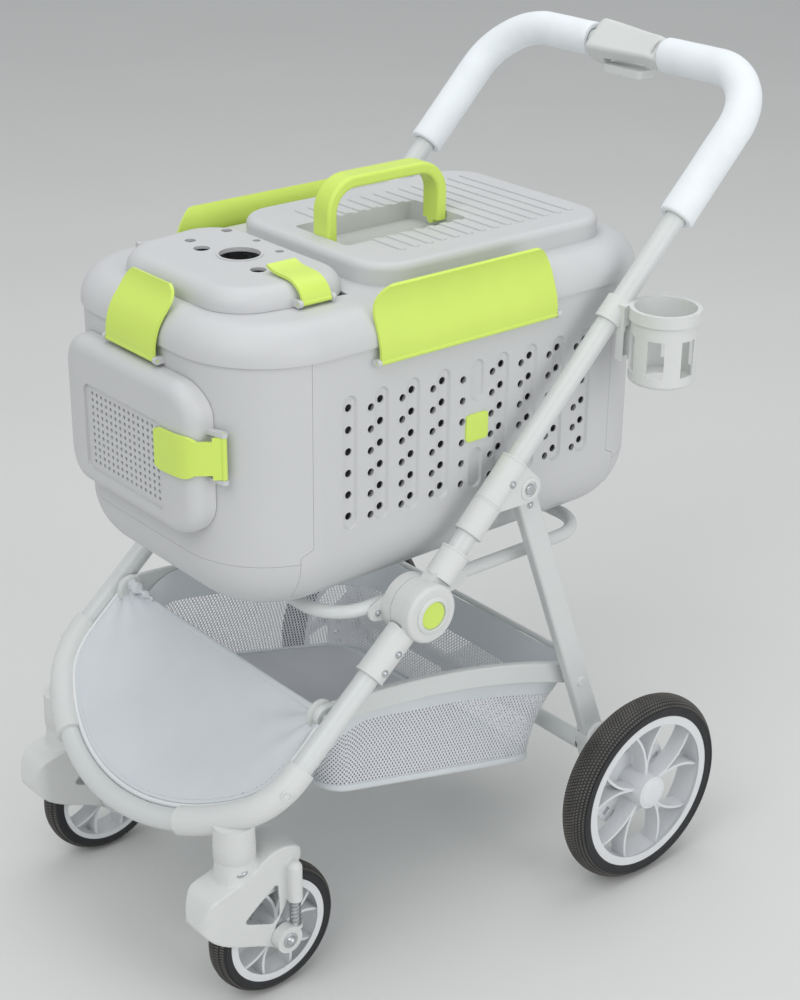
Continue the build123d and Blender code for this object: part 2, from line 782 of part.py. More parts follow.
with BuildPart() as rail_knobs:
    knob_face = rail_x - rail_t / 2 - slip
    with BuildSketch(Plane.YZ.offset(knob_face)):
        with Locations((rail_y, rail_z)):
            Circle(knob_d / 2)
    extrude(amount=-knob_t)
    fillet(rail_knobs.edges().sort_by(Axis.X)[0], 4)
    with BuildSketch(Plane.YZ.offset(knob_face)):
        with Locations((rail_y, rail_z)):
            Circle(rail_pin_d / 2)
    extrude(amount=leg_x - knob_face - 1)
    mirror(about=Plane.YZ)
write(rail_knobs, "rail_knobs")

# Basket: a hung tub with an open top, its floor board and the wire that holds its back
wire_x = rail_x - rail_t / 2 - wire_d / 2
wire_plane = Plane((0, rail_back_y, rail_pivot_z + 1), x_axis, (0, wire_fall, 1))
with BuildPart() as basket_wire:
    wire_run = wire_back - rail_back_y
    with BuildLine(wire_plane):
        near_arm = Line((wire_x, -wire_hold), (wire_x, wire_run - wire_bend_r))
        near_turn = JernArc(near_arm @ 1, (0, 1), wire_bend_r, 90)
        back_bar = Line(near_turn @ 1, (wire_bend_r - wire_x, wire_run))
        far_turn = JernArc(back_bar @ 1, (-1, 0), wire_bend_r, 90)
        Line(far_turn @ 1, (-wire_x, -wire_hold))
    arm_start = wire_plane.from_local_coords(Vector(wire_x, -wire_hold, 0))
    with BuildSketch(Plane(arm_start, x_axis, wire_plane.y_dir)):
        Circle(wire_d / 2)
    sweep()
write(basket_wire, "basket_wire")

with BuildPart() as basket:
    with BuildSketch(Plane.YZ):
        Polygon(
            (basket_front_y, basket_rim_front),
            (basket_front_y, basket_front_z),
            (basket_rear_y, basket_rear_z),
            (basket_back_y, basket_rim_rear),
            align=None,
        )
    extrude(amount=basket_half_w, both=True)
    fillet(basket.edges().filter_by(Axis.X).group_by(Axis.Z)[0], 20)
    rim = basket.faces().sort_by(Axis.Z)[-1]
    offset(amount=-basket_wall, openings=rim)
write(basket, "basket")

with BuildPart() as basket_floor:
    floor_fall = degrees(asin((basket_front_z - basket_rear_z) / sqrt(
        (basket_front_z - basket_rear_z) ** 2 + (basket_rear_y - basket_front_y) ** 2)))
    with BuildSketch(Plane((0, basket_front_y, basket_front_z), x_axis,
                           (0, sin(radians(floor_fall)), cos(radians(floor_fall))))):
        with Locations((0, (basket_rear_y - basket_front_y) / 2 / cos(radians(floor_fall)))):
            RectangleRounded(2 * basket_half_w - 16, floor_board_l, 16)
    extrude(amount=basket_wall + floor_board)
    with BuildSketch(Plane((0, basket_front_y, basket_front_z), x_axis,
                           (0, sin(radians(floor_fall)), cos(radians(floor_fall))))):
        Rectangle(900, 900)
    extrude(amount=basket_wall + running_fit, mode=Mode.SUBTRACT)
write(basket_floor, "basket_floor")

# Front apron: a half-moon cover stretched across the loop
with BuildPart() as front_apron:
    inset = frame_tube_d / 2 + running_fit
    with BuildSketch(loop_plane):
        with BuildLine():
            apron_side = Line((leg_x - inset, apron_s), (leg_x - inset, loop_corner_s))
            apron_corner = JernArc(apron_side @ 1, (0, 1), loop_corner_r - inset, loop_turn)
            apron_bow = JernArc(apron_corner @ 1, apron_corner % 1, loop_front_r - inset, 180 - 2 * loop_turn)
            apron_end = JernArc(apron_bow @ 1, apron_bow % 1, loop_corner_r - inset, loop_turn)
            apron_far = Line(apron_end @ 1, (inset - leg_x, apron_s))
            Line(apron_far @ 1, apron_side @ 0)
        make_face()
    extrude(amount=apron_t / 2, both=True)
    with BuildSketch(Plane.YZ.offset(rail_x - 14)):
        with Locations((rail_y, rail_z)):
            Circle(knob_d / 2 + 2)
    extrude(amount=40, mode=Mode.SUBTRACT)
    with BuildSketch(Plane.YZ.offset(14 - rail_x)):
        with Locations((rail_y, rail_z)):
            Circle(knob_d / 2 + 2)
    extrude(amount=-40, mode=Mode.SUBTRACT)
    add(corner_castings.part, mode=Mode.SUBTRACT)
write(front_apron, "front_apron")

# Casters: a swivelling fork with a hood over the wheel, on two sprung axle blocks
front_axle_point = (caster_x, front_wheel_y, front_wheel_r)
with BuildPart() as left_caster_fork:
    with BuildSketch(Plane.YZ.offset(caster_x - hood_half_w)):
        with BuildLine():
            brow = Spline((hood_tip_y, hood_tip_z), (caster_y - 22, stem_low_z + 34), (caster_y + 4, stem_low_z + 42))
            Line(brow @ 1, (front_wheel_y - 22, stem_low_z + 40))
            dome = ThreePointArc((front_wheel_y - 22, stem_low_z + 40), (front_wheel_y + 6, hood_top_z),
                                 (hood_back_y, hood_top_z - 26))
            Polyline(dome @ 1, (hood_back_y, hood_back_low_z), (front_wheel_y + 8, hood_notch_z),
                     (front_wheel_y - 10, cheek_back_z), (front_wheel_y - 10, cheek_low_z))
            skirt = Spline((front_wheel_y - 10, cheek_low_z), (caster_y + 3, cheek_low_z + 18),
                           (hood_tip_y + 22, hood_tip_z - 26), (hood_tip_y, hood_tip_z))
        make_face()
    extrude(amount=2 * hood_half_w)
    with BuildSketch(Plane.XY):
        with Locations((caster_x, (hood_tip_y + hood_back_y) / 2)):
            RectangleRounded(2 * hood_half_w, hood_back_y - hood_tip_y, hood_half_w - 3)
    extrude(amount=socket_low_z, mode=Mode.INTERSECT)
    with BuildSketch(Plane.YZ.offset(caster_x - 2 * hood_half_w)):
        with BuildLine():
            FilletPolyline(
                (front_wheel_y - 6, 158),
                (front_wheel_y - 55, 122),
                (front_wheel_y - 14, 104),
                (front_wheel_y - 4, 112),
                radius=4,
                close=True,
            )
        make_face()
    extrude(amount=4 * hood_half_w, mode=Mode.SUBTRACT)
    with BuildSketch(Plane.XY.offset(stem_low_z)):
        with Locations((caster_x, caster_y)):
            Circle(socket_d / 2 - 0.5)
    extrude(amount=socket_low_z - slip - stem_low_z)
    with BuildSketch(Plane.YZ.offset(caster_x - hood_half_w + hood_wall)):
        with Locations((front_wheel_y, front_wheel_r + suspension_travel / 2)):
            Circle(front_wheel_r + suspension_travel)
    extrude(amount=2 * (hood_half_w - hood_wall), mode=Mode.SUBTRACT)
    with BuildSketch(Plane.XY.offset(socket_low_z - 2)):
        with Locations((caster_x, caster_y)):
            Circle(caster_pin_d / 2)
    extrude(amount=14)
    for offset_x in (shock_offset, -shock_offset):
        with BuildSketch(Plane.XY.offset(tower_low_z)):
            with Locations((caster_x + offset_x, shock_y)):
                Circle(tower_d / 2)
        extrude(amount=tower_top_z - tower_low_z)
        with BuildSketch(Plane.XY.offset(tower_top_z)):
            with Locations((caster_x + offset_x, shock_y)):
                Circle(tower_d / 2)
        extrude(amount=6, taper=40)
    with BuildSketch(Plane.XY.offset(tower_low_z)):
        with Locations((caster_x + shock_offset, shock_y), (caster_x - shock_offset, shock_y)):
            Circle(rod_d / 2 + running_fit)
    extrude(amount=34, mode=Mode.SUBTRACT)
write(left_caster_fork, "left_caster_fork")

with BuildPart() as left_axle_block:
    with BuildSketch(Plane(front_axle_point, (0, 1, 0), x_axis).offset(-hood_half_w - boss_t - 3)):
        Circle(front_axle_d / 2)
    extrude(amount=2 * (hood_half_w + boss_t + 3))
    for side in (1, -1):
        boss_x = caster_x + side * (hood_half_w + slip)
        with BuildSketch(Plane.YZ.offset(boss_x)):
            with Locations((front_wheel_y, front_wheel_r)):
                Circle(boss_d / 2)
        extrude(amount=side * boss_t)
        with BuildSketch(Plane.XY.offset(front_wheel_r)):
            with Locations((caster_x + side * shock_offset, shock_y)):
                Circle(rod_d / 2)
        extrude(amount=tower_low_z + 22 - front_wheel_r)
        with BuildSketch(Plane.XY.offset(front_wheel_r)):
            with Locations((caster_x + side * shock_offset, shock_y)):
                Circle(tower_d / 2 - 2.5)
        extrude(amount=seat_top_z - 3 - front_wheel_r)
        with BuildSketch(Plane.XY.offset(seat_top_z - 3)):
            with Locations((caster_x + side * shock_offset, shock_y)):
                Circle(tower_d / 2 - 0.5)
        extrude(amount=3)
write(left_axle_block, "left_axle_block")


def coil_spring(axis_x, axis_y, low_z, high_z):
    """A helix of quarter arcs, each tangent to the last and climbing by the same amount."""
    steps = 4 * spring_turns
    r = spring_d / 2
    climb = (high_z - low_z - spring_wire) / steps
    corners = [
        Vector(axis_x + r * cos(k * pi / 2), axis_y + r * sin(k * pi / 2), low_z + spring_wire / 2 + k * climb)
        for k in range(steps + 1)
    ]
    chord = (corners[1] - corners[0]).normalized()
    outward = Vector(cos(pi / 4), sin(pi / 4), 0)
    heading = chord + outward * (tan(pi / 4) * sqrt(1 - chord.Z**2))
    with BuildLine() as coil:
        for start, end in zip(corners, corners[1:]):
            quarter = TangentArc(start, end, tangent=heading)
            heading = quarter % 1
    with BuildSketch(Plane(coil.line @ 0, (1, 0, 0), coil.line % 0)) as wire:
        RegularPolygon(spring_wire / 2, 6)
    sweep(wire.sketch, coil.line)


with BuildPart() as left_springs:
    for side in (1, -1):
        coil_spring(caster_x + side * shock_offset, shock_y, seat_top_z + 0.1, tower_low_z - 0.1)
write(left_springs, "left_springs")

with BuildPart() as left_front_tyre:
    tyre_ring(front_axle_point, front_wheel_r, front_rim_r + running_fit, front_tyre_w / 2)
write(left_front_tyre, "left_front_tyre")

with BuildPart() as left_front_rim:
    spoked_rim(
        front_axle_point,
        front_rim_r,
        rim_band - 2,
        front_tyre_w / 2 - 2,
        front_hub_d / 2,
        front_hub_half,
        front_axle_d / 2 + running_fit,
    )
    with BuildSketch(Plane(front_axle_point, (0, 1, 0), x_axis).offset(-2 * front_hub_half)):
        Circle(front_axle_d / 2 + running_fit)
    extrude(amount=4 * front_hub_half, mode=Mode.SUBTRACT)
write(left_front_rim, "left_front_rim")

with BuildPart() as right_caster_fork:
    mirror(left_caster_fork.part, about=Plane.YZ)
write(right_caster_fork, "right_caster_fork")

with BuildPart() as right_axle_block:
    mirror(left_axle_block.part, about=Plane.YZ)
write(right_axle_block, "right_axle_block")

with BuildPart() as right_springs:
    mirror(left_springs.part, about=Plane.YZ)
write(right_springs, "right_springs")

with BuildPart() as right_front_tyre:
    mirror(left_front_tyre.part, about=Plane.YZ)
write(right_front_tyre, "right_front_tyre")

with BuildPart() as right_front_rim:
    mirror(left_front_rim.part, about=Plane.YZ)
write(right_front_rim, "right_front_rim")

# Carrier ring and the brackets that hold it to the hubs
with BuildPart() as carrier_ring:
    straight_w = ring_half_w - ring_corner_r
    straight_l = ring_half_l - ring_corner_r
    with BuildLine(Plane((0, carrier_y, ring_z))):
        side_bar = Line((ring_half_w, -straight_l), (ring_half_w, straight_l))
        turn_one = JernArc(side_bar @ 1, (0, 1), ring_corner_r, 90)
        back_bar = Line(turn_one @ 1, (-straight_w, ring_half_l))
        turn_two = JernArc(back_bar @ 1, (-1, 0), ring_corner_r, 90)
        far_bar = Line(turn_two @ 1, (-ring_half_w, -straight_l))
        turn_three = JernArc(far_bar @ 1, (0, -1), ring_corner_r, 90)
        front_bar = Line(turn_three @ 1, (straight_w, -ring_half_l))
        JernArc(front_bar @ 1, (1, 0), ring_corner_r, 90)
    with BuildSketch(Plane((ring_half_w, carrier_y - straight_l, ring_z), x_axis, (0, 1, 0))):
        Circle(ring_d / 2)
    sweep()
write(carrier_ring, "carrier_ring")

with BuildPart() as ring_brackets:
    with BuildSketch(Plane.YZ.offset(ring_half_w + ring_d / 2)):
        with Locations((hub_y, hub_z)):
            Circle(22)
        with Locations((hub_y - 42, ring_z - 4), (carrier_y - 20, ring_z)):
            Circle(10)
        make_hull()
    extrude(amount=leg_x - hub_gap / 2 - hub_cheek - ring_half_w - ring_d / 2)
    mirror(about=Plane.YZ)
write(ring_brackets, "ring_brackets")

# Carrier: a moulded tub cut along its panel lines into a base, two ends and two sides
with BuildPart() as tub:
    with BuildSketch(Plane.XY.offset(carrier_base_z)):
        with Locations((0, carrier_y)):
            RectangleRounded(2 * carrier_half_w, 2 * carrier_half_l, carrier_corner_r)
    extrude(amount=carrier_seam_z - carrier_base_z)
    fillet(tub.edges().group_by(Axis.Z)[0], carrier_bottom_r)
    offset(amount=-carrier_wall, openings=tub.faces().sort_by(Axis.Z)[-1])

beyond = carrier_half_l + 40
side_outline = (
    (carrier_y - end_line, carrier_seam_z),
    (carrier_y - end_line, step_z),
    (carrier_y - step_line, step_z - 8),
    (carrier_y - step_line, low_seam_z),
    (carrier_y + step_line, low_seam_z),
    (carrier_y + step_line, step_z - 8),
    (carrier_y + end_line, step_z),
    (carrier_y + end_line, carrier_seam_z),
)
end_outline = (
    (carrier_y - beyond, carrier_seam_z),
    (carrier_y - beyond, end_seam_z),
    (carrier_y - step_line, end_seam_z),
    (carrier_y - step_line, step_z - 8),
    (carrier_y - end_line, step_z),
    (carrier_y - end_line, carrier_seam_z),
)
base_outline = (
    (carrier_y - beyond, end_seam_z),
    (carrier_y - beyond, carrier_base_z - 20),
    (carrier_y + beyond, carrier_base_z - 20),
    (carrier_y + beyond, end_seam_z),
    (carrier_y + step_line, end_seam_z),
    (carrier_y + step_line, low_seam_z),
    (carrier_y - step_line, low_seam_z),
    (carrier_y - step_line, end_seam_z),
)

with BuildPart() as carrier_base:
    add(tub.part)
    with BuildSketch(Plane.YZ.offset(-beyond)):
        Polygon(*base_outline, align=None)
        offset(amount=-seam / 2, kind=Kind.INTERSECTION)
    extrude(amount=2 * beyond, mode=Mode.INTERSECT)
    foot_line = ring_half_l - ring_d / 2 - foot_gap - foot_w / 2
    with BuildSketch(Plane.XY.offset(carrier_base_z - foot_h)):
        with Locations((0, carrier_y - foot_line), (0, carrier_y + foot_line)):
            RectangleRounded(foot_l, foot_w, foot_w / 2 - 1)
    extrude(amount=foot_h + carrier_wall / 2)
write(carrier_base, "carrier_base")


def pivot_lug(plane, post, pivot, thick):
    """A lug from a wall point out to a trunnion, drawn in the plane and extruded along its normal."""
    with BuildSketch(plane) as lug:
        with Locations(post):
            Circle(lug_r - 1)
        with Locations(pivot):
            Circle(lug_r)
        make_hull()
    extrude(lug.sketch, amount=thick)
    with BuildSketch(plane.offset(-1)) as bore:
        with Locations(pivot):
            Circle(trunnion_d / 2 + running_fit)
    extrude(bore.sketch, amount=thick + 2, mode=Mode.SUBTRACT)


with BuildPart() as front_shell:
    add(tub.part)
    with BuildSketch(Plane.YZ.offset(-beyond)):
        Polygon(*end_outline, align=None)
        offset(amount=-seam / 2, kind=Kind.INTERSECTION)
    extrude(amount=2 * beyond, mode=Mode.INTERSECT)
    with BuildSketch(Plane.XZ.offset(-front_y - 40)):
        with Locations((0, (door_low_z + door_top_z) / 2)):
            RectangleRounded(entry_w, entry_h, 26)
    extrude(amount=80, mode=Mode.SUBTRACT)
    for low in (-front_latch_w / 2 - slip - lug_t, front_latch_w / 2 + slip):
        pivot_lug(Plane.YZ.offset(low), (front_y + 2, front_latch_z), (front_latch_y, front_latch_z), lug_t)
    for low in hinge_lug_z:
        with BuildSketch(Plane.XY.offset(low)):
            with Locations((hinge_x, hinge_y)):
                Circle(hinge_lug_r)
            with Locations((hinge_x + 6, hinge_y + 16)):
                Circle(hinge_lug_r - 1)
            make_hull()
        extrude(amount=hinge_lug_h)
        with BuildSketch(Plane.XY.offset(low)):
            with Locations((hinge_x, hinge_y)):
                Circle(hinge_pin_d / 2 + running_fit)
        extrude(amount=hinge_lug_h, mode=Mode.SUBTRACT)
write(front_shell, "front_shell")

with BuildPart() as rear_shell:
    add(tub.part)
    with BuildSketch(Plane.YZ.offset(-beyond)):
        Polygon(*[(2 * carrier_y - y, z) for y, z in end_outline], align=None)
        offset(amount=-seam / 2, kind=Kind.INTERSECTION)
    extrude(amount=2 * beyond, mode=Mode.INTERSECT)
write(rear_shell, "rear_shell")

# Side panels: vertical channels of vent holes, with plain rows between them
first_channel_y = carrier_y + 2 - vent_pitch * (vent_channels - 1) / 2
badge_y = carrier_y + 8
with BuildPart() as left_side_panel:
    add(tub.part)
    with BuildSketch(Plane.YZ.offset(carrier_half_w - 80)):
        Polygon(*side_outline, align=None)
        offset(amount=-seam / 2, kind=Kind.INTERSECTION)
    extrude(amount=120, mode=Mode.INTERSECT)
    vent_mid_z = vent_top_z - vent_row_pitch * (vent_rows - 1) / 2
    vent_span = vent_row_pitch * (vent_rows - 1)
    with BuildSketch(Plane.YZ.offset(carrier_half_w)):
        for channel in range(vent_channels):
            if channel != vent_channels // 2:
                with Locations((first_channel_y + channel * vent_pitch, vent_mid_z)):
                    SlotOverall(vent_span + 30, channel_w, rotation=90)
        with Locations((badge_y, vent_mid_z + vent_span / 2 - 10), (badge_y, vent_mid_z - vent_span / 2 + 10)):
            SlotOverall(50, channel_w, rotation=90)
    extrude(amount=-channel_depth, taper=channel_lean, mode=Mode.SUBTRACT)
    with BuildSketch(Plane.YZ.offset(carrier_half_w - 2 * carrier_wall)):
        for channel in range(vent_channels):
            if channel != vent_channels // 2:
                with Locations((first_channel_y + channel * vent_pitch, vent_mid_z)):
                    with GridLocations(1, vent_row_pitch, 1, vent_rows):
                        RegularPolygon(vent_d / 2, 6)
        with Locations((carrier_y + 2 + vent_lag, vent_mid_z - 5)):
            with GridLocations(vent_pitch, vent_row_pitch, vent_channels - 1, vent_rows):
                RegularPolygon(vent_d / 2, 6)
    extrude(amount=3 * carrier_wall, mode=Mode.SUBTRACT)
    for low in (flap_y - flap_l / 2 - slip, flap_y + flap_l / 2 + slip + lug_t):
        pivot_lug(Plane.XZ.offset(-low), (carrier_half_w - 1, flap_low_z), (flap_x, flap_low_z), lug_t)
write(left_side_panel, "left_side_panel")

with BuildPart() as right_side_panel:
    mirror(left_side_panel.part, about=Plane.YZ)
write(right_side_panel, "right_side_panel")

with BuildPart() as side_badges:
    with BuildSketch(Plane.YZ.offset(carrier_half_w)):
        with Locations((badge_y, badge_z)):
            RectangleRounded(badge, badge, 5)
    extrude(amount=badge_t)
    fillet(side_badges.faces().sort_by(Axis.X)[-1].edges(), 1)
    mirror(about=Plane.YZ)
write(side_badges, "side_badges")

# Lid with the opening under its domed hatch
lid_half_w = carrier_half_w + lid_over
lid_half_l = carrier_half_l + lid_over


def dome_outline(inset):
    """Half-widths of the hatch at its front and back, drawn in by an inset."""
    return (
        (dome_front_w - inset, dome_front_y + inset),
        (dome_rear_w - inset, dome_rear_y - inset),
        (inset - dome_rear_w, dome_rear_y - inset),
        (inset - dome_front_w, dome_front_y + inset),
    )


with BuildPart() as lid:
    with BuildSketch(Plane.XY.offset(carrier_seam_z + seam)):
        with Locations((0, carrier_y)):
            RectangleRounded(2 * lid_half_w, 2 * lid_half_l, carrier_corner_r + lid_over)
    extrude(amount=lid_top_z - carrier_seam_z - seam)
    fillet(lid.edges().group_by(Axis.Z)[-1], lid_shoulder_r)
    offset(amount=-lid_wall, openings=lid.faces().sort_by(Axis.Z)[0])
    with BuildSketch(Plane.XY.offset(carrier_seam_z)):
        Polygon(*dome_outline(dome_seat), align=None)
    extrude(amount=100, mode=Mode.SUBTRACT)
    for low in (dome_hinge_y - dome_hinge_l / 2 - slip, dome_hinge_y + dome_hinge_l / 2 + slip + lug_t):
        pivot_lug(Plane.XZ.offset(-low), (dome_hinge_x, lid_top_z - 1), (dome_hinge_x, dome_hinge_z), lug_t)
write(lid, "lid")

with BuildPart() as dome_hatch:
    with BuildSketch(Plane.XY.offset(lid_top_z + slip)):
        Polygon(*dome_outline(0), align=None)
        fillet(vertices(), dome_corner_r)
    extrude(amount=dome_top_z - lid_top_z - slip)
    fillet(dome_hatch.edges().group_by(Axis.Z)[-1], dome_r)
    offset(amount=-dome_wall, openings=dome_hatch.faces().sort_by(Axis.Z)[0])
    with BuildSketch(Plane.XY.offset(lid_top_z)):
        for across, back, hole_d in dome_small_holes:
            with Locations((across, dome_hole_y + back)):
                Circle(hole_d / 2)
    extrude(amount=2 * (dome_top_z - lid_top_z), mode=Mode.SUBTRACT)
    with BuildSketch(Plane.XY.offset(dome_top_z - dome_wall)):
        with Locations((0, dome_hole_y)):
            Circle(dome_hole_d / 2 + dome_hole_lip)
    extrude(amount=dome_wall + 1.5)
    with BuildSketch(Plane.XY.offset(lid_top_z)):
        with Locations((0, dome_hole_y)):
            Circle(dome_hole_d / 2)
    extrude(amount=2 * (dome_top_z - lid_top_z), mode=Mode.SUBTRACT)
    with BuildSketch(Plane.XZ.offset(-dome_hinge_y - dome_hinge_l / 2)):
        with Locations((dome_hinge_x, dome_hinge_z)):
            Circle(lug_r - 1)
        with Locations((dome_hinge_x + dome_hinge_web, dome_hinge_z)):
            Circle(lug_r - 2)
        make_hull()
    extrude(amount=dome_hinge_l)
    with BuildSketch(Plane.XZ.offset(-dome_hinge_y - dome_hinge_l / 2 - lug_t)):
        with Locations((dome_hinge_x, dome_hinge_z)):
            Circle(trunnion_d / 2)
    extrude(amount=dome_hinge_l + 2 * lug_t)
    for low in (dome_latch_y - dome_latch_w / 2 - slip, dome_latch_y + dome_latch_w / 2 + slip + lug_t):
        pivot_lug(Plane.XZ.offset(-low), (dome_latch_x - dome_latch_web, dome_hinge_z),
                  (dome_latch_x, dome_hinge_z), lug_t)
write(dome_hatch, "dome_hatch")


def latch_strip(plane, points, width, pivot):
    """A bent strap drawn edge on and extruded to its width, with a barrel and trunnions at its foot."""
    with BuildSketch(plane) as strip:
        with BuildLine() as bend:
            Spline(*points)
        trace(bend.line, line_width=latch_t)
        with Locations(pivot):
            Circle(lug_r - 1)
    extrude(strip.sketch, amount=width)
    with BuildSketch(plane.offset(-lug_t)) as pins:
        with Locations(pivot):
            Circle(trunnion_d / 2)
    extrude(pins.sketch, amount=width + 2 * lug_t)


with BuildPart() as dome_latch:
    latch_strip(
        Plane.XZ.offset(-dome_latch_y - dome_latch_w / 2),
        (
            (dome_latch_x + 0.5, dome_hinge_z),
            (dome_latch_x - 2.5, dome_hinge_z + 9),
            (dome_latch_x - 15, dome_top_z + 1),
            (dome_latch_x - 38, dome_top_z + 4),
            (dome_latch_x - dome_latch_reach, dome_top_z + 9),
        ),
        dome_latch_w,
        (dome_latch_x, dome_hinge_z),
    )
write(dome_latch, "dome_latch")

# Raised deck with the carry handle in its recess
with BuildPart() as top_deck:
    with BuildSketch(Plane.XY.offset(lid_top_z)):
        with Locations((0, deck_y)):
            RectangleRounded(deck_w, deck_l, deck_corner_r)
    extrude(amount=deck_top_z - lid_top_z)
    fillet(top_deck.edges().group_by(Axis.Z)[-1], deck_edge_r)
    with BuildSketch(Plane.XY.offset(lid_top_z)):
        with Locations((0, deck_y)):
            RectangleRounded(deck_w - 2 * deck_wall, deck_l - 2 * deck_wall, deck_corner_r - deck_wall)
        with Locations((0, recess_y)):
            Rectangle(recess_w + 2 * deck_wall, 2 * handle_half_l + 60, mode=Mode.SUBTRACT)
    extrude(amount=deck_top_z - lid_top_z - deck_wall, mode=Mode.SUBTRACT)
    with BuildSketch(Plane.XY.offset(deck_top_z - 1)):
        with Locations((0, rib_first_y + rib_pitch * (rib_count - 1) / 2)):
            with GridLocations(1, rib_pitch, 1, rib_count):
                RectangleRounded(rib_l, rib_w, rib_w / 2 - 0.5)
    extrude(amount=2.5)
    with BuildSketch(Plane.XY.offset(recess_z)):
        with Locations((0, recess_y)):
            RectangleRounded(recess_w, 2 * (handle_half_l + handle_t / 2 + slip), 6)
    extrude(amount=40, mode=Mode.SUBTRACT)
    with BuildSketch(Plane.XZ.offset(-recess_y - handle_half_l - 16)):
        with Locations((0, handle_pivot_z)):
            Circle(handle_pin_d / 2 + running_fit)
    extrude(amount=2 * handle_half_l + 32, mode=Mode.SUBTRACT)
write(top_deck, "top_deck")

with BuildPart() as carry_handle:
    near_y = recess_y - handle_half_l
    far_y = recess_y + handle_half_l
    with BuildLine(Plane.YZ):
        FilletPolyline(
            (near_y, handle_pivot_z),
            (near_y, handle_top_z - handle_t / 2),
            (far_y, handle_top_z - handle_t / 2),
            (far_y, handle_pivot_z),
            radius=handle_corner_r,
        )
    with BuildSketch(Plane((0, near_y, handle_pivot_z))):
        RectangleRounded(handle_w, handle_t, 4)
    sweep()
    for foot_y in (near_y, far_y):
        with BuildSketch(Plane.XZ.offset(-foot_y - handle_t / 2)):
            with Locations((0, handle_pivot_z)):
                Circle(handle_pin_d)
        extrude(amount=handle_t)
    with BuildSketch(Plane.XZ.offset(-far_y - handle_t / 2 - 6)):
        with Locations((0, handle_pivot_z)):
            Circle(handle_pin_d / 2)
    extrude(amount=8)
    with BuildSketch(Plane.XZ.offset(-near_y + handle_t / 2 + 6)):
        with Locations((0, handle_pivot_z)):
            Circle(handle_pin_d / 2)
    extrude(amount=-8)
write(carry_handle, "carry_handle")

# Green side flaps and the front latch
with BuildPart() as left_side_flap:
    latch_strip(
        Plane.XZ.offset(-flap_y - flap_l / 2),
        (
            (flap_x, flap_low_z),
            (flap_x - 0.6, flap_low_z + 20),
            (flap_x - 9, flap_low_z + 44),
            (flap_x - 14, flap_low_z + 62),
            (flap_x - 9, flap_low_z + 80),
        ),
        flap_l,
        (flap_x, flap_low_z),
    )
    with BuildSketch(Plane.YZ.offset(carrier_half_w - 40)):
        with Locations((flap_y, flap_low_z + 38)):
            RectangleRounded(flap_l, 90, 36)
        with Locations((flap_y, flap_low_z + 16)):
            Rectangle(flap_l, 46)
        with Locations((flap_y, flap_low_z)):
            Rectangle(flap_l + 2 * lug_t, 8)
    extrude(amount=80, mode=Mode.INTERSECT)
write(left_side_flap, "left_side_flap")

with BuildPart() as right_side_flap:
    mirror(left_side_flap.part, about=Plane.YZ)
write(right_side_flap, "right_side_flap")

with BuildPart() as front_latch:
    latch_strip(
        Plane.YZ.offset(-front_latch_w / 2),
        (
            (front_latch_y - 0.5, front_latch_z),
            (front_latch_y + 0.5, front_latch_z + 18),
            (front_latch_y + 8, front_latch_z + 39),
            (front_latch_y + 22, front_latch_z + 58),
            (front_latch_y + 30, front_latch_z + 76),
        ),
        front_latch_w,
        (front_latch_y, front_latch_z),
    )
    with BuildSketch(Plane.XZ.offset(-front_latch_y - 60)):
        with Locations((0, front_latch_z + front_latch_h / 2 - 6)):
            RectangleRounded(front_latch_w, front_latch_h + 12, 20)
        with Locations((0, front_latch_z)):
            Rectangle(front_latch_w, 36)
            Rectangle(front_latch_w + 2 * lug_t, 10)
    extrude(amount=120, mode=Mode.INTERSECT)
write(front_latch, "front_latch")


# Front door: a pillow-edged panel that follows the curve of the shell
def shell_band(near, far, low_z, high_z, mode):
    """A band that follows the tub's plan outline between two distances from it."""
    with BuildSketch(Plane.XY.offset(low_z)) as band:
        with Locations((0, carrier_y)):
            RectangleRounded(2 * (carrier_half_w + far), 2 * (carrier_half_l + far), carrier_corner_r + far)
            RectangleRounded(
                2 * (carrier_half_w + near),
                2 * (carrier_half_l + near),
                carrier_corner_r + near,
                mode=Mode.SUBTRACT,
            )
    extrude(band.sketch, amount=high_z - low_z, mode=mode)


door_mid_z = (door_low_z + door_top_z) / 2
door_h = door_top_z - door_low_z
with BuildPart() as door_core:
    shell_band(1, door_stand - door_face_t, door_low_z, door_top_z, Mode.ADD)
    with BuildSketch(Plane.XZ):
        with Locations((0, door_mid_z)):
            RectangleRounded(2 * (door_half_w - door_edge_r), door_h - 2 * door_edge_r, door_corner_r - door_edge_r)
    extrude(amount=2 * beyond, mode=Mode.INTERSECT)

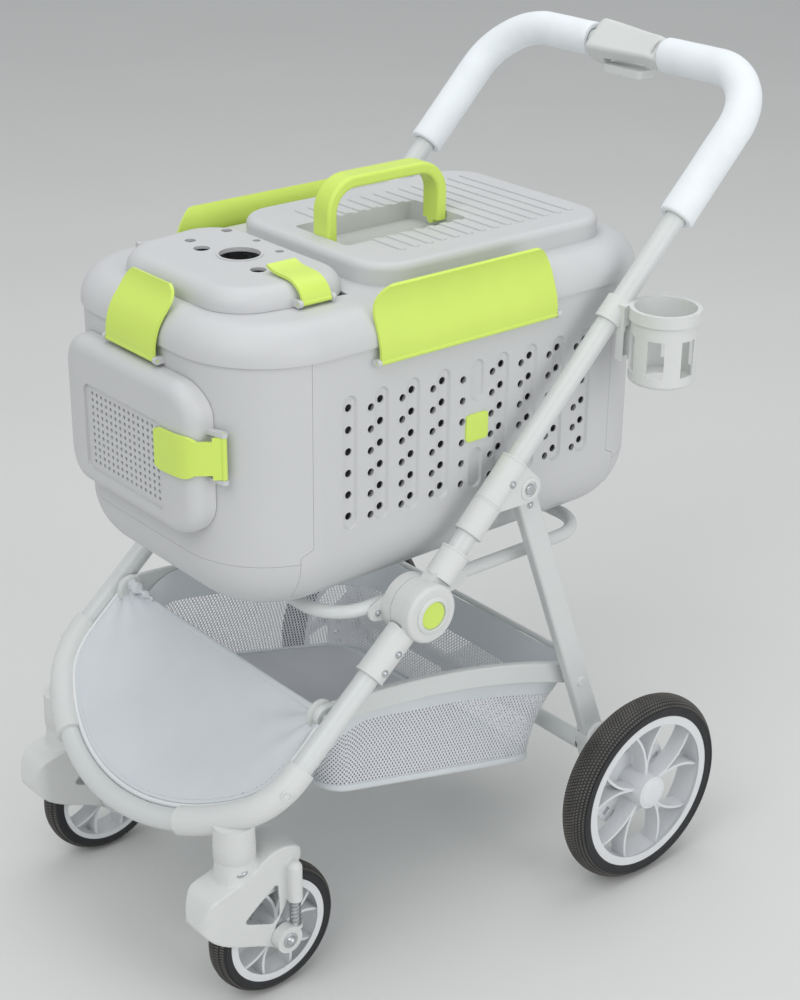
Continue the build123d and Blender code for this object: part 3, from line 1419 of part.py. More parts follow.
with BuildPart() as front_door:
    shell_band(1, door_stand, door_low_z, door_top_z, Mode.ADD)
    with BuildSketch(Plane.XZ):
        with Locations((0, door_mid_z)):
            RectangleRounded(2 * door_half_w, door_h, door_corner_r)
    extrude(amount=2 * beyond, mode=Mode.INTERSECT)
    door_face = front_door.faces().filter_by(Plane.XZ).sort_by(Axis.Y)[0]
    fillet(door_face.edges().sort_by(Axis.Z)[-1], door_edge_r)
    add(door_core.part, mode=Mode.SUBTRACT)
    with BuildSketch(Plane.XZ.offset(-front_y + door_stand)):
        with Locations((0, grille_z)):
            RectangleRounded(grille_w + 16, grille_h + 14, 10)
    extrude(amount=-grille_sink, mode=Mode.SUBTRACT)
    with BuildSketch(Plane.XZ.offset(-front_y + door_stand)):
        with Locations((0, grille_z)):
            with GridLocations(grille_w / grille_columns, grille_h / grille_rows, grille_columns, grille_rows):
                RegularPolygon(grille_hole / 2, 8)
    extrude(amount=-2 * door_face_t, mode=Mode.SUBTRACT)
    barrel_low = hinge_lug_z[0] + hinge_lug_h + slip
    barrel_high = hinge_lug_z[1] - slip
    with BuildSketch(Plane.XY.offset(barrel_low)):
        with Locations((hinge_x, hinge_y)):
            Circle(hinge_lug_r - 1)
        with Locations((1.5 - door_half_w, hinge_y)):
            Circle(hinge_lug_r - 2)
        make_hull()
    extrude(amount=barrel_high - barrel_low)
    with BuildSketch(Plane.XY.offset(barrel_low - hinge_lug_h + 2)):
        with Locations((hinge_x, hinge_y)):
            Circle(hinge_pin_d / 2)
    extrude(amount=barrel_high - barrel_low + 2 * hinge_lug_h - 4)
    for low in (door_latch_z - door_latch_h / 2 - slip - lug_t, door_latch_z + door_latch_h / 2 + slip):
        pivot_lug(Plane.XY.offset(low), (door_half_w - 2, door_lug_y), (door_latch_x, door_latch_y), lug_t)
write(front_door, "front_door")

with BuildPart() as door_latch:
    latch_strip(
        Plane.XY.offset(door_latch_z - door_latch_h / 2),
        (
            (door_latch_x, door_latch_y),
            (door_half_w + 8, front_y - 7),
            (door_half_w - 6, front_y - 22),
            (door_half_w - 27, front_y - 28),
            (door_latch_in, front_y - 30),
        ),
        door_latch_h,
        (door_latch_x, door_latch_y),
    )
    with BuildSketch(Plane.XZ):
        with Locations(((door_latch_in + door_half_w) / 2, door_latch_z)):
            RectangleRounded(door_half_w - door_latch_in + 8, door_latch_h, 14)
        with Locations((door_half_w, door_latch_z)):
            Rectangle(door_half_w - 72, door_latch_h - 10)
        with Locations((door_latch_x, door_latch_z)):
            Rectangle(12, door_latch_h + 2 * lug_t)
    extrude(amount=2 * beyond, mode=Mode.INTERSECT)
write(door_latch, "door_latch")

# Cup holder: a slotted cup clipped to the left push tube
clip_face_x = leg_x + push_tube_d / 2
with BuildPart() as cup_holder:
    with BuildSketch(Plane.XY.offset(cup_low_z)):
        with Locations((cup_x, cup_y)):
            Circle(cup_d / 2)
    extrude(amount=cup_top_z - cup_low_z)
    fillet(cup_holder.edges().group_by(Axis.Z)[0], cup_bottom_r)
    with BuildSketch(Plane.XY.offset(cup_top_z - cup_band_h)):
        with Locations((cup_x, cup_y)):
            Circle(cup_band_d / 2)
    extrude(amount=cup_band_h)
    with Locations((clip_face_x, cup_y, cup_top_z)):
        Box(clip_plate_t, clip_plate_l, clip_plate_h, align=(Align.MIN, Align.CENTER, Align.MAX))
    with Locations((clip_face_x - 2, cup_y - clip_plate_l / 2, cup_top_z)):
        Box(clip_plate_t + 2, clip_arm_w, clip_arm_h, align=(Align.MIN, Align.MIN, Align.MAX))
    with Locations((clip_face_x - 4, cup_y - clip_plate_l / 2 + 3.5, cup_top_z - clip_plate_h - 8)):
        Box(clip_plate_t + 8, clip_arm_w - 7, clip_arm_h - clip_plate_h - 13,
            align=(Align.MIN, Align.MIN, Align.MAX), mode=Mode.SUBTRACT)
    with BuildSketch(Plane(push_point(cup_clip_t[0], leg_x), x_axis, push_dir)):
        Circle(push_tube_d / 2 + 4)
    extrude(amount=cup_clip_t[1] - cup_clip_t[0])
    with BuildSketch(Plane.XY.offset(cup_low_z + cup_wall)):
        with Locations((cup_x, cup_y)):
            Circle(cup_d / 2 - cup_wall)
    extrude(amount=cup_top_z - cup_low_z, mode=Mode.SUBTRACT)
    with BuildSketch(Plane(push_point(0, leg_x), x_axis, push_dir)):
        Circle(push_tube_d / 2 + running_fit)
    extrude(amount=push_reach, mode=Mode.SUBTRACT)
    with BuildSketch(Plane.XY.offset(cup_low_z + cup_slot_low)):
        with Locations((cup_x, cup_y)):
            with PolarLocations(cup_d / 2, cup_slots, start_angle=-(cup_slots - 1) * cup_slot_pitch / 2,
                                angular_range=cup_slots * cup_slot_pitch):
                Rectangle(14, cup_slot_w)
    extrude(amount=cup_slot_h, mode=Mode.SUBTRACT)
    with BuildSketch(Plane.XY.offset(cup_low_z - 1)):
        with Locations((cup_x, cup_y)):
            Circle(cup_d / 2 - 16)
    extrude(amount=10, mode=Mode.SUBTRACT)
write(cup_holder, "cup_holder")
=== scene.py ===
"""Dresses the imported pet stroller: tyres, foam grips, cloth apron, net basket, fittings and finishes."""

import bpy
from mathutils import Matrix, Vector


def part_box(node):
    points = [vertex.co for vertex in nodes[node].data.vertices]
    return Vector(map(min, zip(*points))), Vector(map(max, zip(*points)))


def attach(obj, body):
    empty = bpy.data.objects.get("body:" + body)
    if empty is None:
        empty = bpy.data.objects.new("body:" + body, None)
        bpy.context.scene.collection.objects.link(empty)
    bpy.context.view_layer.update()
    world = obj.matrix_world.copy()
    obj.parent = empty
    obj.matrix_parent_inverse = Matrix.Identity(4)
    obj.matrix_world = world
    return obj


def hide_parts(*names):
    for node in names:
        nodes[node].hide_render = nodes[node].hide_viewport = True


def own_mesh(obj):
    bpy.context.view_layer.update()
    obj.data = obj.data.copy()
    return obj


bl_info = {
    "name": "Pet stroller",
    "version": (1, 0, 0),
    "blender": (4, 5, 0),
    "location": "View3D > Sidebar > Stroller",
    "description": "Tyres, foam, cloth, fittings and finishes for a folding pet stroller",
    "category": "Object",
}

from math import acos, atan2, cos, exp, pi, radians, sin, sqrt

import bpy
from bpy.props import FloatProperty, FloatVectorProperty, IntProperty, PointerProperty
from mathutils import Matrix, Vector

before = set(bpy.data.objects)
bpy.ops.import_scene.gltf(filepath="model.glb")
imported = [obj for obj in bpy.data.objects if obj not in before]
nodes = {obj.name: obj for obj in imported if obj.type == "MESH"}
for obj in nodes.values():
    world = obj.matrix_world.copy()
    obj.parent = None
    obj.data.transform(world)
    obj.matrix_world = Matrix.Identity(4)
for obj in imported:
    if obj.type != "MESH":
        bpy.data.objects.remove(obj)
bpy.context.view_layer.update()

mm = 0.001
both_sides = (("left", 1), ("right", -1))

# Frame lines, as the part's source has them
leg_x = 224 * mm
hub_y = -128 * mm
hub_z = 454 * mm
leg_slope = radians(41.25)
push_slope = radians(45.2)
leg_dir = Vector((0, -cos(leg_slope), -sin(leg_slope)))
leg_up = Vector((0, -sin(leg_slope), cos(leg_slope)))
push_dir = Vector((0, cos(push_slope), sin(push_slope)))
push_up = Vector((0, -sin(push_slope), cos(push_slope)))
hub = Vector((0, hub_y, hub_z))
across = Vector((1, 0, 0))

# Loop and apron
loop_reach = 374 * mm
loop_corner_r = 93.5 * mm
loop_front_r = 290 * mm
loop_turn = acos((leg_x - loop_corner_r) / (loop_front_r - loop_corner_r))
loop_corner_s = loop_reach - loop_front_r + (loop_front_r - loop_corner_r) * sin(loop_turn)
loop_tube_r = 13 * mm
apron_hem_s = 160 * mm

# Push bar and its foam
push_reach = 746 * mm
push_corner_r = 78 * mm
push_tube_r = 12.5 * mm
grip_r = 22 * mm
grip_start_t = 542 * mm
grip_end_x = 62 * mm

# Rear legs, rails and basket
pivot = hub + push_dir * 184 * mm - push_up * 29 * mm
rear_axle = Vector((292 * mm, 186 * mm, 125 * mm))
front_axle = Vector((185 * mm, -314 * mm, 83 * mm))
caster_y = -362 * mm
rail_front = hub + leg_dir * 160.9 * mm
rail_rear_z = 269 * mm
rail_rear_y = pivot.y + (rear_axle.y - pivot.y) * (pivot.z - rail_rear_z) / (pivot.z - rear_axle.z)
rail_arch = 16 * mm
basket_front_y = -240 * mm
basket_back_y = 166 * mm
floor_front_z = 236 * mm
floor_rear_z = 152 * mm
floor_rear_y = 96 * mm
floor_slope = (floor_rear_z - floor_front_z) / (floor_rear_y - basket_front_y)


def linear(hex_colour):
    """An sRGB hex colour as linear red, green and blue."""
    channels = [int(hex_colour[i:i + 2], 16) / 255 for i in (0, 2, 4)]
    return tuple(c / 12.92 if c <= 0.04045 else ((c + 0.055) / 1.055) ** 2.4 for c in channels)


class StrollerColours(bpy.types.PropertyGroup):
    """Colours of the stroller's finishes."""

    shell: FloatVectorProperty(
        name="Shell", description="Moulded carrier shell", subtype="COLOR", default=linear("CCCDCE"))
    paint: FloatVectorProperty(
        name="Frame paint", description="Powder coat on the tubes", subtype="COLOR", default=linear("D4D7D6"))
    fitting: FloatVectorProperty(
        name="Fittings", description="Frame fittings and cup holder", subtype="COLOR",
        default=linear("D8DAD8"))
    lime: FloatVectorProperty(
        name="Lime", description="Latches, flaps, handle and caps", subtype="COLOR", default=linear("D4EC6A"))
    foam: FloatVectorProperty(
        name="Foam", description="Foam on the push bar", subtype="COLOR", default=linear("EDF2F5"))
    rim: FloatVectorProperty(
        name="Rims", description="Wheel rims", subtype="COLOR", default=linear("DFE1E3"))
    rubber: FloatVectorProperty(
        name="Tyres", description="Tyre rubber", subtype="COLOR", default=linear("232426"))
    # The tread colour is a pale grey laid evenly on every lug tip of the tyres
    tread: FloatVectorProperty(
        name="Tread", description="Dusty tips of the tread", subtype="COLOR", default=linear("5F5D59"))
    steel: FloatVectorProperty(
        name="Steel", description="Springs, bolts and rivets", subtype="COLOR", default=linear("C4C6C9"))
    net: FloatVectorProperty(
        name="Net", description="Threads of the basket net", subtype="COLOR", default=linear("E0E2E6"))
    cloth: FloatVectorProperty(
        name="Cloth", description="Apron and basket band", subtype="COLOR", default=linear("D4D9DC"))
    trim: FloatVectorProperty(
        name="Piping", description="Piping and stitches of the apron", subtype="COLOR",
        default=linear("E4E7E8"))
    board: FloatVectorProperty(
        name="Floor board", description="Covered basket floor", subtype="COLOR", default=linear("C4C6CA"))
    floor: FloatVectorProperty(
        name="Studio floor", description="Floor under the stroller", subtype="COLOR",
        default=linear("DEDEDC"))


class StrollerSizes(bpy.types.PropertyGroup):
    """Sizes of the stroller's soft and small pieces."""

    rear_lugs: IntProperty(
        name="Rear tread", description="Diamonds round a rear tyre", default=180, min=40, max=240)
    front_ribs: IntProperty(
        name="Front tread", description="Ribs round a front tyre", default=132, min=30, max=180)
    apron_sag: FloatProperty(
        name="Apron sag", description="How far the apron sinks below its loop", default=7 * mm, unit="LENGTH")
    piping: FloatProperty(
        name="Piping", description="Radius of the apron's piping", default=3.2 * mm, unit="LENGTH")
    stitch: FloatProperty(
        name="Stitch", description="Length of one stitch", default=4 * mm, unit="LENGTH")
    net_pitch: FloatProperty(
        name="Net pitch", description="Spacing of the net's slanting rows of holes",
        default=4.1 * mm, unit="LENGTH")
    band: FloatProperty(
        name="Basket band", description="Height of the cloth band round the basket",
        default=34 * mm, unit="LENGTH")
    rivet: FloatProperty(
        name="Rivet", description="Radius of a small rivet head", default=4.6 * mm, unit="LENGTH")


def add_node(tree, kind, inputs=None, **settings):
    """Add a node with its settings, its inputs filled with values or with other nodes' outputs."""
    made = tree.nodes.new(kind)
    for key, value in settings.items():
        setattr(made, key, value)
    for socket, value in (inputs or {}).items():
        if isinstance(value, bpy.types.NodeSocket):
            tree.links.new(value, made.inputs[socket])
        else:
            made.inputs[socket].default_value = value
    return made


def new_material(name, colour, roughness, **sockets):
    """An empty material with one shader, its colour and its constant sockets."""
    material = bpy.data.materials.new(name)
    material.use_nodes = True
    shader = material.node_tree.nodes["Principled BSDF"]
    shader.inputs["Base Color"].default_value = (*colour, 1)
    shader.inputs["Roughness"].default_value = roughness
    for socket, value in sockets.items():
        shader.inputs[socket.replace("_", " ")].default_value = value
    material.diffuse_color = (*colour, 1)
    return material, shader


def grained(name, colour, roughness, grain, depth, patch, shade, rough, detail=3.0, **sockets):
    """A material with a fine grain in relief and slow patches of shade and roughness. Sizes are in metres."""
    material, shader = new_material(name, colour, roughness, **sockets)
    tree = material.node_tree
    noise_low, noise_high = 0.3, 0.7
    place = add_node(tree, "ShaderNodeTexCoord")
    fine = add_node(tree, "ShaderNodeTexNoise", {
        "Vector": place.outputs["Object"], "Scale": 1 / grain, "Detail": detail})
    slow = add_node(tree, "ShaderNodeTexNoise", {
        "Vector": place.outputs["Object"], "Scale": 1 / patch, "Detail": 2.0})
    value = add_node(tree, "ShaderNodeMapRange", {
        "Value": slow.outputs["Fac"], "From Min": noise_low, "From Max": noise_high,
        "To Min": 1 - shade, "To Max": 1 + shade})
    tint = add_node(tree, "ShaderNodeHueSaturation", {
        "Value": value.outputs["Result"], "Color": (*colour, 1)})
    tree.links.new(tint.outputs["Color"], shader.inputs["Base Color"])
    gloss = add_node(tree, "ShaderNodeMapRange", {
        "Value": slow.outputs["Fac"], "From Min": noise_low, "From Max": noise_high,
        "To Min": rough[0], "To Max": rough[1]})
    tree.links.new(gloss.outputs["Result"], shader.inputs["Roughness"])
    relief = add_node(tree, "ShaderNodeBump", {
        "Height": fine.outputs["Fac"], "Strength": 1.0, "Distance": depth})
    tree.links.new(relief.outputs["Normal"], shader.inputs["Normal"])
    return material


def deselect():
    """Leave edit mode and select nothing."""
    if bpy.context.object and bpy.context.object.mode != "OBJECT":
        bpy.ops.object.mode_set(mode="OBJECT")
    bpy.ops.object.select_all(action="DESELECT")


def edit(piece):
    """Enter edit mode on one piece with all of it selected."""
    deselect()
    bpy.context.view_layer.objects.active = piece
    piece.select_set(True)
    bpy.ops.object.mode_set(mode="EDIT")
    bpy.ops.mesh.select_all(action="SELECT")


def close_up(piece, smooth=40):
    """Merge a piece's doubles, point its faces outwards and shade it smooth up to an angle."""
    edit(piece)
    bpy.ops.mesh.remove_doubles(threshold=0.01 * mm)
    bpy.ops.mesh.delete_loose(use_verts=True, use_edges=True, use_faces=False)
    bpy.ops.mesh.select_all(action="SELECT")
    bpy.ops.mesh.normals_make_consistent(inside=False)
    bpy.ops.object.mode_set(mode="OBJECT")
    bpy.ops.object.shade_smooth_by_angle(angle=radians(smooth))
    return piece


def ready(piece, name, body, material, slot, *replaced):
    """Name a finished piece, give it its finish and fix it to its body."""
    deselect()
    piece.name = name
    piece.data.name = name
    piece.data.materials.clear()
    piece.data.materials.append(bpy.data.materials[material])
    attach(piece, body)
    if replaced:
        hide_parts(*replaced)
    return piece


def joined(pieces):
    """Join several meshes into the first."""
    deselect()
    for piece in pieces:
        piece.select_set(True)
    bpy.context.view_layer.objects.active = pieces[0]
    if len(pieces) > 1:
        bpy.ops.object.join()
    return bpy.context.object


def use_modifier(piece, kind, **settings):
    """Add a modifier with its settings and apply it."""
    deselect()
    bpy.context.view_layer.objects.active = piece
    piece.select_set(True)
    made = piece.modifiers.new(kind.title(), kind)
    for key, value in settings.items():
        setattr(made, key, value)
    bpy.ops.object.modifier_apply(modifier=made.name)
    return piece


def turned(centre, axis, profile, steps=32):
    """Turn a closed profile of (radius, along) points about an axis, as on a lathe."""
    deselect()
    bpy.ops.mesh.primitive_circle_add(vertices=len(profile), radius=1)
    piece = bpy.context.object
    along = Vector(axis).normalized()
    out = along.orthogonal().normalized()
    for vertex, (radius, height) in zip(piece.data.vertices, profile):
        vertex.co = Vector(centre) + out * radius + along * height
    edit(piece)
    bpy.ops.mesh.spin(steps=steps, angle=2 * pi, center=centre, axis=along)
    return close_up(piece)


def in_mm(*points):
    """A profile's points, given in millimetres."""
    return [(radius * mm, along * mm) for radius, along in points]


def grid(columns, rows):
    """A flat grid from -1 to 1 both ways, to be laid in place point by point."""
    deselect()
    bpy.ops.mesh.primitive_grid_add(x_subdivisions=columns, y_subdivisions=rows, size=2, calc_uvs=True)
    return bpy.context.object


def area_of(piece):
    """The area of a piece's faces."""
    return sum(face.area for face in piece.data.polygons)


def on_side(point, sign):
    """A point of the left side, or its twin on the right."""
    return Vector((sign * point.x, point.y, point.z))


def copied(node, name, smooth=40):
    """A copy of a solid, with its doubles merged."""
    deselect()
    piece = bpy.data.objects.new(name, nodes[node].data.copy())
    bpy.context.scene.collection.objects.link(piece)
    return close_up(piece, smooth)


def softened(node, voxel):
    """A copy of a solid as an even skin of small faces, ready to be shaped and smoothed."""
    return use_modifier(copied(node, f"{node}_skin"), "REMESH", mode="VOXEL", voxel_size=voxel)


def ease(share):
    """A smooth step from 0 to 1."""
    share = min(max(share, 0), 1)
    return share * share * (3 - 2 * share)


def ring_start(centre, direction, radius, sides):
    """The first ring of a tube, left selected in edit mode."""
    deselect()
    turn = Vector((0, 0, 1)).rotation_difference(Vector(direction)).to_euler()
    bpy.ops.mesh.primitive_circle_add(vertices=sides, radius=radius, location=centre, rotation=turn)
    piece = bpy.context.object
    bpy.ops.object.transform_apply(location=True, rotation=True, scale=True)
    edit(piece)
    return piece


def ring_run(move, steps=1):
    """Carry the selected ring along a straight run."""
    for _ in range(steps):
        bpy.ops.mesh.extrude_region_move(TRANSFORM_OT_translate={"value": Vector(move) / steps})


def ring_turn(angle, centre, axis, steps):
    """Carry the selected ring round a bend, by a right-handed angle. Spin itself turns the other way."""
    bpy.ops.mesh.spin(steps=steps, angle=-angle, center=centre, axis=axis)


def loop_place(x, s, lift=0.0):
    """A point in the plane of the front loop, s from the hubs, lifted off it."""
    return hub + across * x + leg_dir * s + leg_up * lift


def loop_front(x, inset):
    """How far the loop's inner edge reaches at x, less an inset."""
    side = abs(x)
    corner_x = leg_x - loop_corner_r
    bow_r = loop_front_r - inset
    if side <= bow_r * cos(loop_turn):
        return loop_reach - loop_front_r + sqrt(bow_r**2 - side**2)
    corner_r = loop_corner_r - inset
    return loop_corner_s + sqrt(max(corner_r**2 - (side - corner_x)**2, 0))


def rail_z(y):
    """Height of the side rails' centre line at y."""
    span = (y - rail_front.y) / (rail_rear_y - rail_front.y)
    return rail_front.z + (rail_rear_z - rail_front.z) * span + rail_arch * 4 * span * (1 - span)


def floor_z(y):
    """Height of the basket's sloping floor at y."""
    return floor_front_z + floor_slope * (y - basket_front_y)


def rounded_box(turn, half_w, low_y, high_y, corner):
    """A point on a rounded rectangle, its turn from 0 to 1 measured along its edge."""
    half_l = (high_y - low_y) / 2
    runs = []
    for quarter in range(4):
        straight = 2 * (half_l - corner) if quarter % 2 == 0 else 2 * (half_w - corner)
        runs += [straight, corner * pi / 2]
    left = (turn % 1.0) * sum(runs)
    heading = Vector((0, 1))
    point = Vector((half_w, corner - half_l))
    for index, run in enumerate(runs):
        part = min(left, run)
        if index % 2 == 0:
            point = point + heading * part
        else:
            inward = Vector((-heading.y, heading.x))
            middle = point + inward * corner
            angle = part / corner
            point = middle - inward * corner * cos(angle) + heading * corner * sin(angle)
            heading = heading * cos(angle) + inward * sin(angle)
        left -= part
        if left <= 0:
            break
    return point.x, point.y + (low_y + high_y) / 2


class STROLLER_OT_finishes(bpy.types.Operator):
    """Make the finishes and give every solid of the frame its own"""

    bl_idname = "stroller.finishes"
    bl_label = "Finishes"

    def execute(self, context):
        colours = context.scene.stroller_colours
        # Grains and weaves that are too fine to show are drawn as coarse as they need to be
        # ABS, injection moulded in a spark-eroded tool: even satin with a fine grain, hardly any gloss
        grained("abs_shell", colours.shell, 0.48, 1.1 * mm, 0.025 * mm, 90 * mm, 0.012, (0.44, 0.52))
        # Aluminium tube under powder coat: smooth satin with a slight orange peel
        grained("powder_coated_aluminium", colours.paint, 0.34, 2.2 * mm, 0.03 * mm, 70 * mm, 0.012,
                (0.3, 0.38))
        # Glass-filled nylon, moulded: matt, a touch warmer than the paint
        grained("moulded_nylon", colours.fitting, 0.5, 0.9 * mm, 0.03 * mm, 60 * mm, 0.015, (0.46, 0.56))
        # ABS coloured right through, smooth tool: satin, with soft highlights on its bends
        grained("lime_abs", colours.lime, 0.4, 1.3 * mm, 0.012 * mm, 70 * mm, 0.02, (0.36, 0.44))
        # Polypropylene rims: satin, faintly mottled
        grained("polypropylene_rim", colours.rim, 0.42, 1.4 * mm, 0.02 * mm, 50 * mm, 0.015, (0.38, 0.46))
        # EVA foam tube with a cut skin: dead matt, tiny open cells
        grained("eva_foam", colours.foam, 0.9, 1.6 * mm, 0.18 * mm, 35 * mm, 0.025, (0.85, 0.95), 6.0,
                Sheen_Weight=0.15, Sheen_Roughness=0.6)
        # Foamed tyre rubber: black with a dull bloom; its lugs take the paler grey rubber below
        grained("tyre_rubber", colours.rubber, 0.62, 1.2 * mm, 0.06 * mm, 22 * mm, 0.12, (0.55, 0.7))
        # The same rubber where it meets the road, drawn a pale grey on every lug tip, dead matt
        grained("pale_tread_rubber", colours.tread, 0.8, 1.5 * mm, 0.06 * mm, 40 * mm, 0.25, (0.7, 0.9))
        # Zinc-plated steel: bright, with a slightly cloudy plating
        grained("zinc_plated_steel", colours.steel, 0.3, 1.0 * mm, 0.01 * mm, 8 * mm, 0.05, (0.24, 0.4),
                Metallic=1.0)
        # Polyester cloth with a PU coat: smooth and cool, soft broad highlights, faint weave under the coat
        grained("pu_coated_cloth", colours.cloth, 0.46, 2.0 * mm, 0.05 * mm, 60 * mm, 0.02, (0.42, 0.52), 8.0,
                Sheen_Weight=0.08)
        # White piping cord in a coated sleeve, and its sewing thread: smooth, a shade lighter than the cloth
        for name, gloss in (("sewn_piping", 0.44), ("sewing_thread", 0.6)):
            grained(name, colours.trim, gloss, 0.8 * mm, 0.05 * mm, 30 * mm, 0.02,
                    (gloss - 0.05, gloss + 0.05))
        # Board wrapped in the same polyester, uncoated: flat grey weave
        grained("covered_board", colours.board, 0.75, 1.5 * mm, 0.1 * mm, 60 * mm, 0.03, (0.7, 0.82), 8.0,
                Sheen_Weight=0.1)
        self.net(context)
        finish_of = {
            "powder_coated_aluminium": (
                "front_frame", "handle_tube", "left_rear_leg", "right_rear_leg", "rear_cross_tube",
                "left_side_rail", "right_side_rail", "basket_wire", "carrier_ring"),
            "moulded_nylon": (
                "corner_castings", "lower_hubs", "upper_hubs", "pivot_brackets", "release_housing",
                "fold_trigger", "axle_housings", "brake_pedal", "rail_knobs", "ring_brackets", "cup_holder",
                "left_caster_fork", "right_caster_fork", "left_axle_block", "right_axle_block"),
            "abs_shell": (
                "carrier_base", "front_shell", "rear_shell", "left_side_panel", "right_side_panel", "lid",
                "top_deck", "dome_hatch", "front_door"),
            "lime_abs": (
                "hub_caps", "side_badges", "dome_latch", "door_latch", "front_latch", "left_side_flap",
                "right_side_flap", "carry_handle"),
            "polypropylene_rim": ("left_rear_rim", "right_rear_rim", "left_front_rim", "right_front_rim"),
            "tyre_rubber": ("left_rear_tyre", "right_rear_tyre", "left_front_tyre", "right_front_tyre"),
            "eva_foam": ("left_grip", "right_grip"),
            "zinc_plated_steel": ("hub_pins", "leg_pins", "rear_axles", "left_springs", "right_springs"),
            "polyester_net": ("basket",),
            "covered_board": ("basket_floor",),
            "pu_coated_cloth": ("front_apron",),
        }
        for finish, names in finish_of.items():
            for name in names:
                mesh = nodes[name].data
                mesh.materials.clear()
                mesh.materials.append(bpy.data.materials[finish])
        bare = set(nodes) - {name for names in finish_of.values() for name in names}
        if bare:
            raise RuntimeError(f"no finish for {sorted(bare)}")
        return {"FINISHED"}

    def net(self, context):
        """Knitted polyester net: round holes in slanting rows, drawn in metres along its own UV map."""
        colour = context.scene.stroller_colours.net
        pitch = context.scene.stroller_sizes.net_pitch
        hole_share = 0.33
        material, shader = new_material("polyester_net", colour, 0.7, Sheen_Weight=0.1)
        tree = material.node_tree
        place = add_node(tree, "ShaderNodeUVMap")
        slant = add_node(tree, "ShaderNodeMapping", {
            "Vector": place.outputs["UV"], "Rotation": (0, 0, pi / 4), "Scale": (1 / pitch, 1 / pitch, 1)})
        cells = add_node(tree, "ShaderNodeVectorMath", {0: slant.outputs["Vector"]}, operation="FRACTION")
        from_hole = add_node(tree, "ShaderNodeVectorMath", {
            0: cells.outputs["Vector"], 1: (0.5, 0.5, 0)}, operation="DISTANCE")
        solid = add_node(tree, "ShaderNodeMath", {
            0: from_hole.outputs["Value"], 1: hole_share}, operation="GREATER_THAN")
        tree.links.new(solid.outputs[0], shader.inputs["Alpha"])
        round_off = add_node(tree, "ShaderNodeMapRange", {
            "Value": from_hole.outputs["Value"], "From Min": hole_share, "From Max": 0.7})
        relief = add_node(tree, "ShaderNodeBump", {
            "Height": round_off.outputs["Result"], "Strength": 0.8, "Distance": 0.5 * mm})
        tree.links.new(relief.outputs["Normal"], shader.inputs["Normal"])


def crown_fall(outer, shoulder, share):
    """How far a tyre's crown falls away from its middle, at a share of its half width."""
    return (outer - shoulder - 1.5 * mm) * abs(share)**2.3


def tyre_profile(outer, shoulder, crown_half_w, lug_h, wall):
    """A tyre's closed section: its crown, one wall and the same wall on the other side."""
    base = outer - lug_h + 0.4 * mm
    shares = [step / 6 - 1 for step in range(13)]
    crown = [(base - crown_fall(outer, shoulder, share), crown_half_w * share) for share in shares]
    return crown + wall + [(r, -x) for r, x in reversed(wall)]


def tread_round(blocks, count, centre):
    """Repeat one row of tread blocks round a wheel."""
    tread = joined(blocks)
    edit(tread)
    bpy.ops.mesh.spin(
        steps=count - 1, angle=2 * pi * (count - 1) / count, center=centre, axis=across, dupli=True)
    return close_up(tread, 20)


def fit_tyre(place, carcass, tread):
    """Fit a tyre's two pieces to its wheel."""
    ready(carcass, f"{place}_tyre_wall", f"{place}_wheel", "tyre_rubber", "tyre", f"{place}_tyre")
    # The lugs and ribs of the tread take the pale grey rubber all round the wheel
    ready(tread, f"{place}_tyre_tread", f"{place}_wheel", "pale_tread_rubber", "tyre")


class STROLLER_OT_rear_tyres(bpy.types.Operator):
    """Turn the rear tyres and knurl their crowns with small diamonds"""

    bl_idname = "stroller.rear_tyres"
    bl_label = "Rear tyres"

    def execute(self, context):
        count = context.scene.stroller_sizes.rear_lugs
        outer = rear_axle.z
        half_w = 20 * mm
        crown_half_w = 18.6 * mm
        rows_half_w = 17.2 * mm
        seat = 103.05 * mm
        shoulder = outer - 11 * mm
        lug_h = 1.5 * mm
        rows = 11
        wall = [(shoulder + 0.8 * mm, half_w), (shoulder - 0.6 * mm, half_w + 0.3 * mm),
                (shoulder - 1.8 * mm, half_w), (shoulder - 2.4 * mm, half_w - 0.7 * mm),
                (seat + 4 * mm, half_w - 0.6 * mm), (seat + 1.2 * mm, half_w - 0.9 * mm),
                (seat, half_w - 2 * mm)]
        profile = tyre_profile(outer, shoulder, crown_half_w, lug_h, wall)
        for side, sign in both_sides:
            centre = on_side(rear_axle, sign)
            carcass = turned(centre, across, profile, 120)
            lugs = []
            for row in range(rows):
                share = 2 * row / (rows - 1) - 1
                lean = 0.62 * share * abs(share)
                x = rows_half_w * share
                r = outer - lug_h + 0.1 * mm - crown_fall(outer, shoulder, x / crown_half_w)
                lag = (row % 2) * pi / count
                deselect()
                middle = centre + Vector((x, -sin(lag) * (r + lug_h / 2), cos(lag) * (r + lug_h / 2)))
                bpy.ops.mesh.primitive_cone_add(
                    vertices=4, radius1=2.1 * mm, radius2=1.3 * mm, depth=lug_h, location=middle,
                    rotation=(lag, lean, 0))
                bpy.ops.object.transform_apply(location=True, rotation=True, scale=True)
                lugs.append(bpy.context.object)
            fit_tyre(f"{side}_rear", carcass, tread_round(lugs, count, centre))
        return {"FINISHED"}


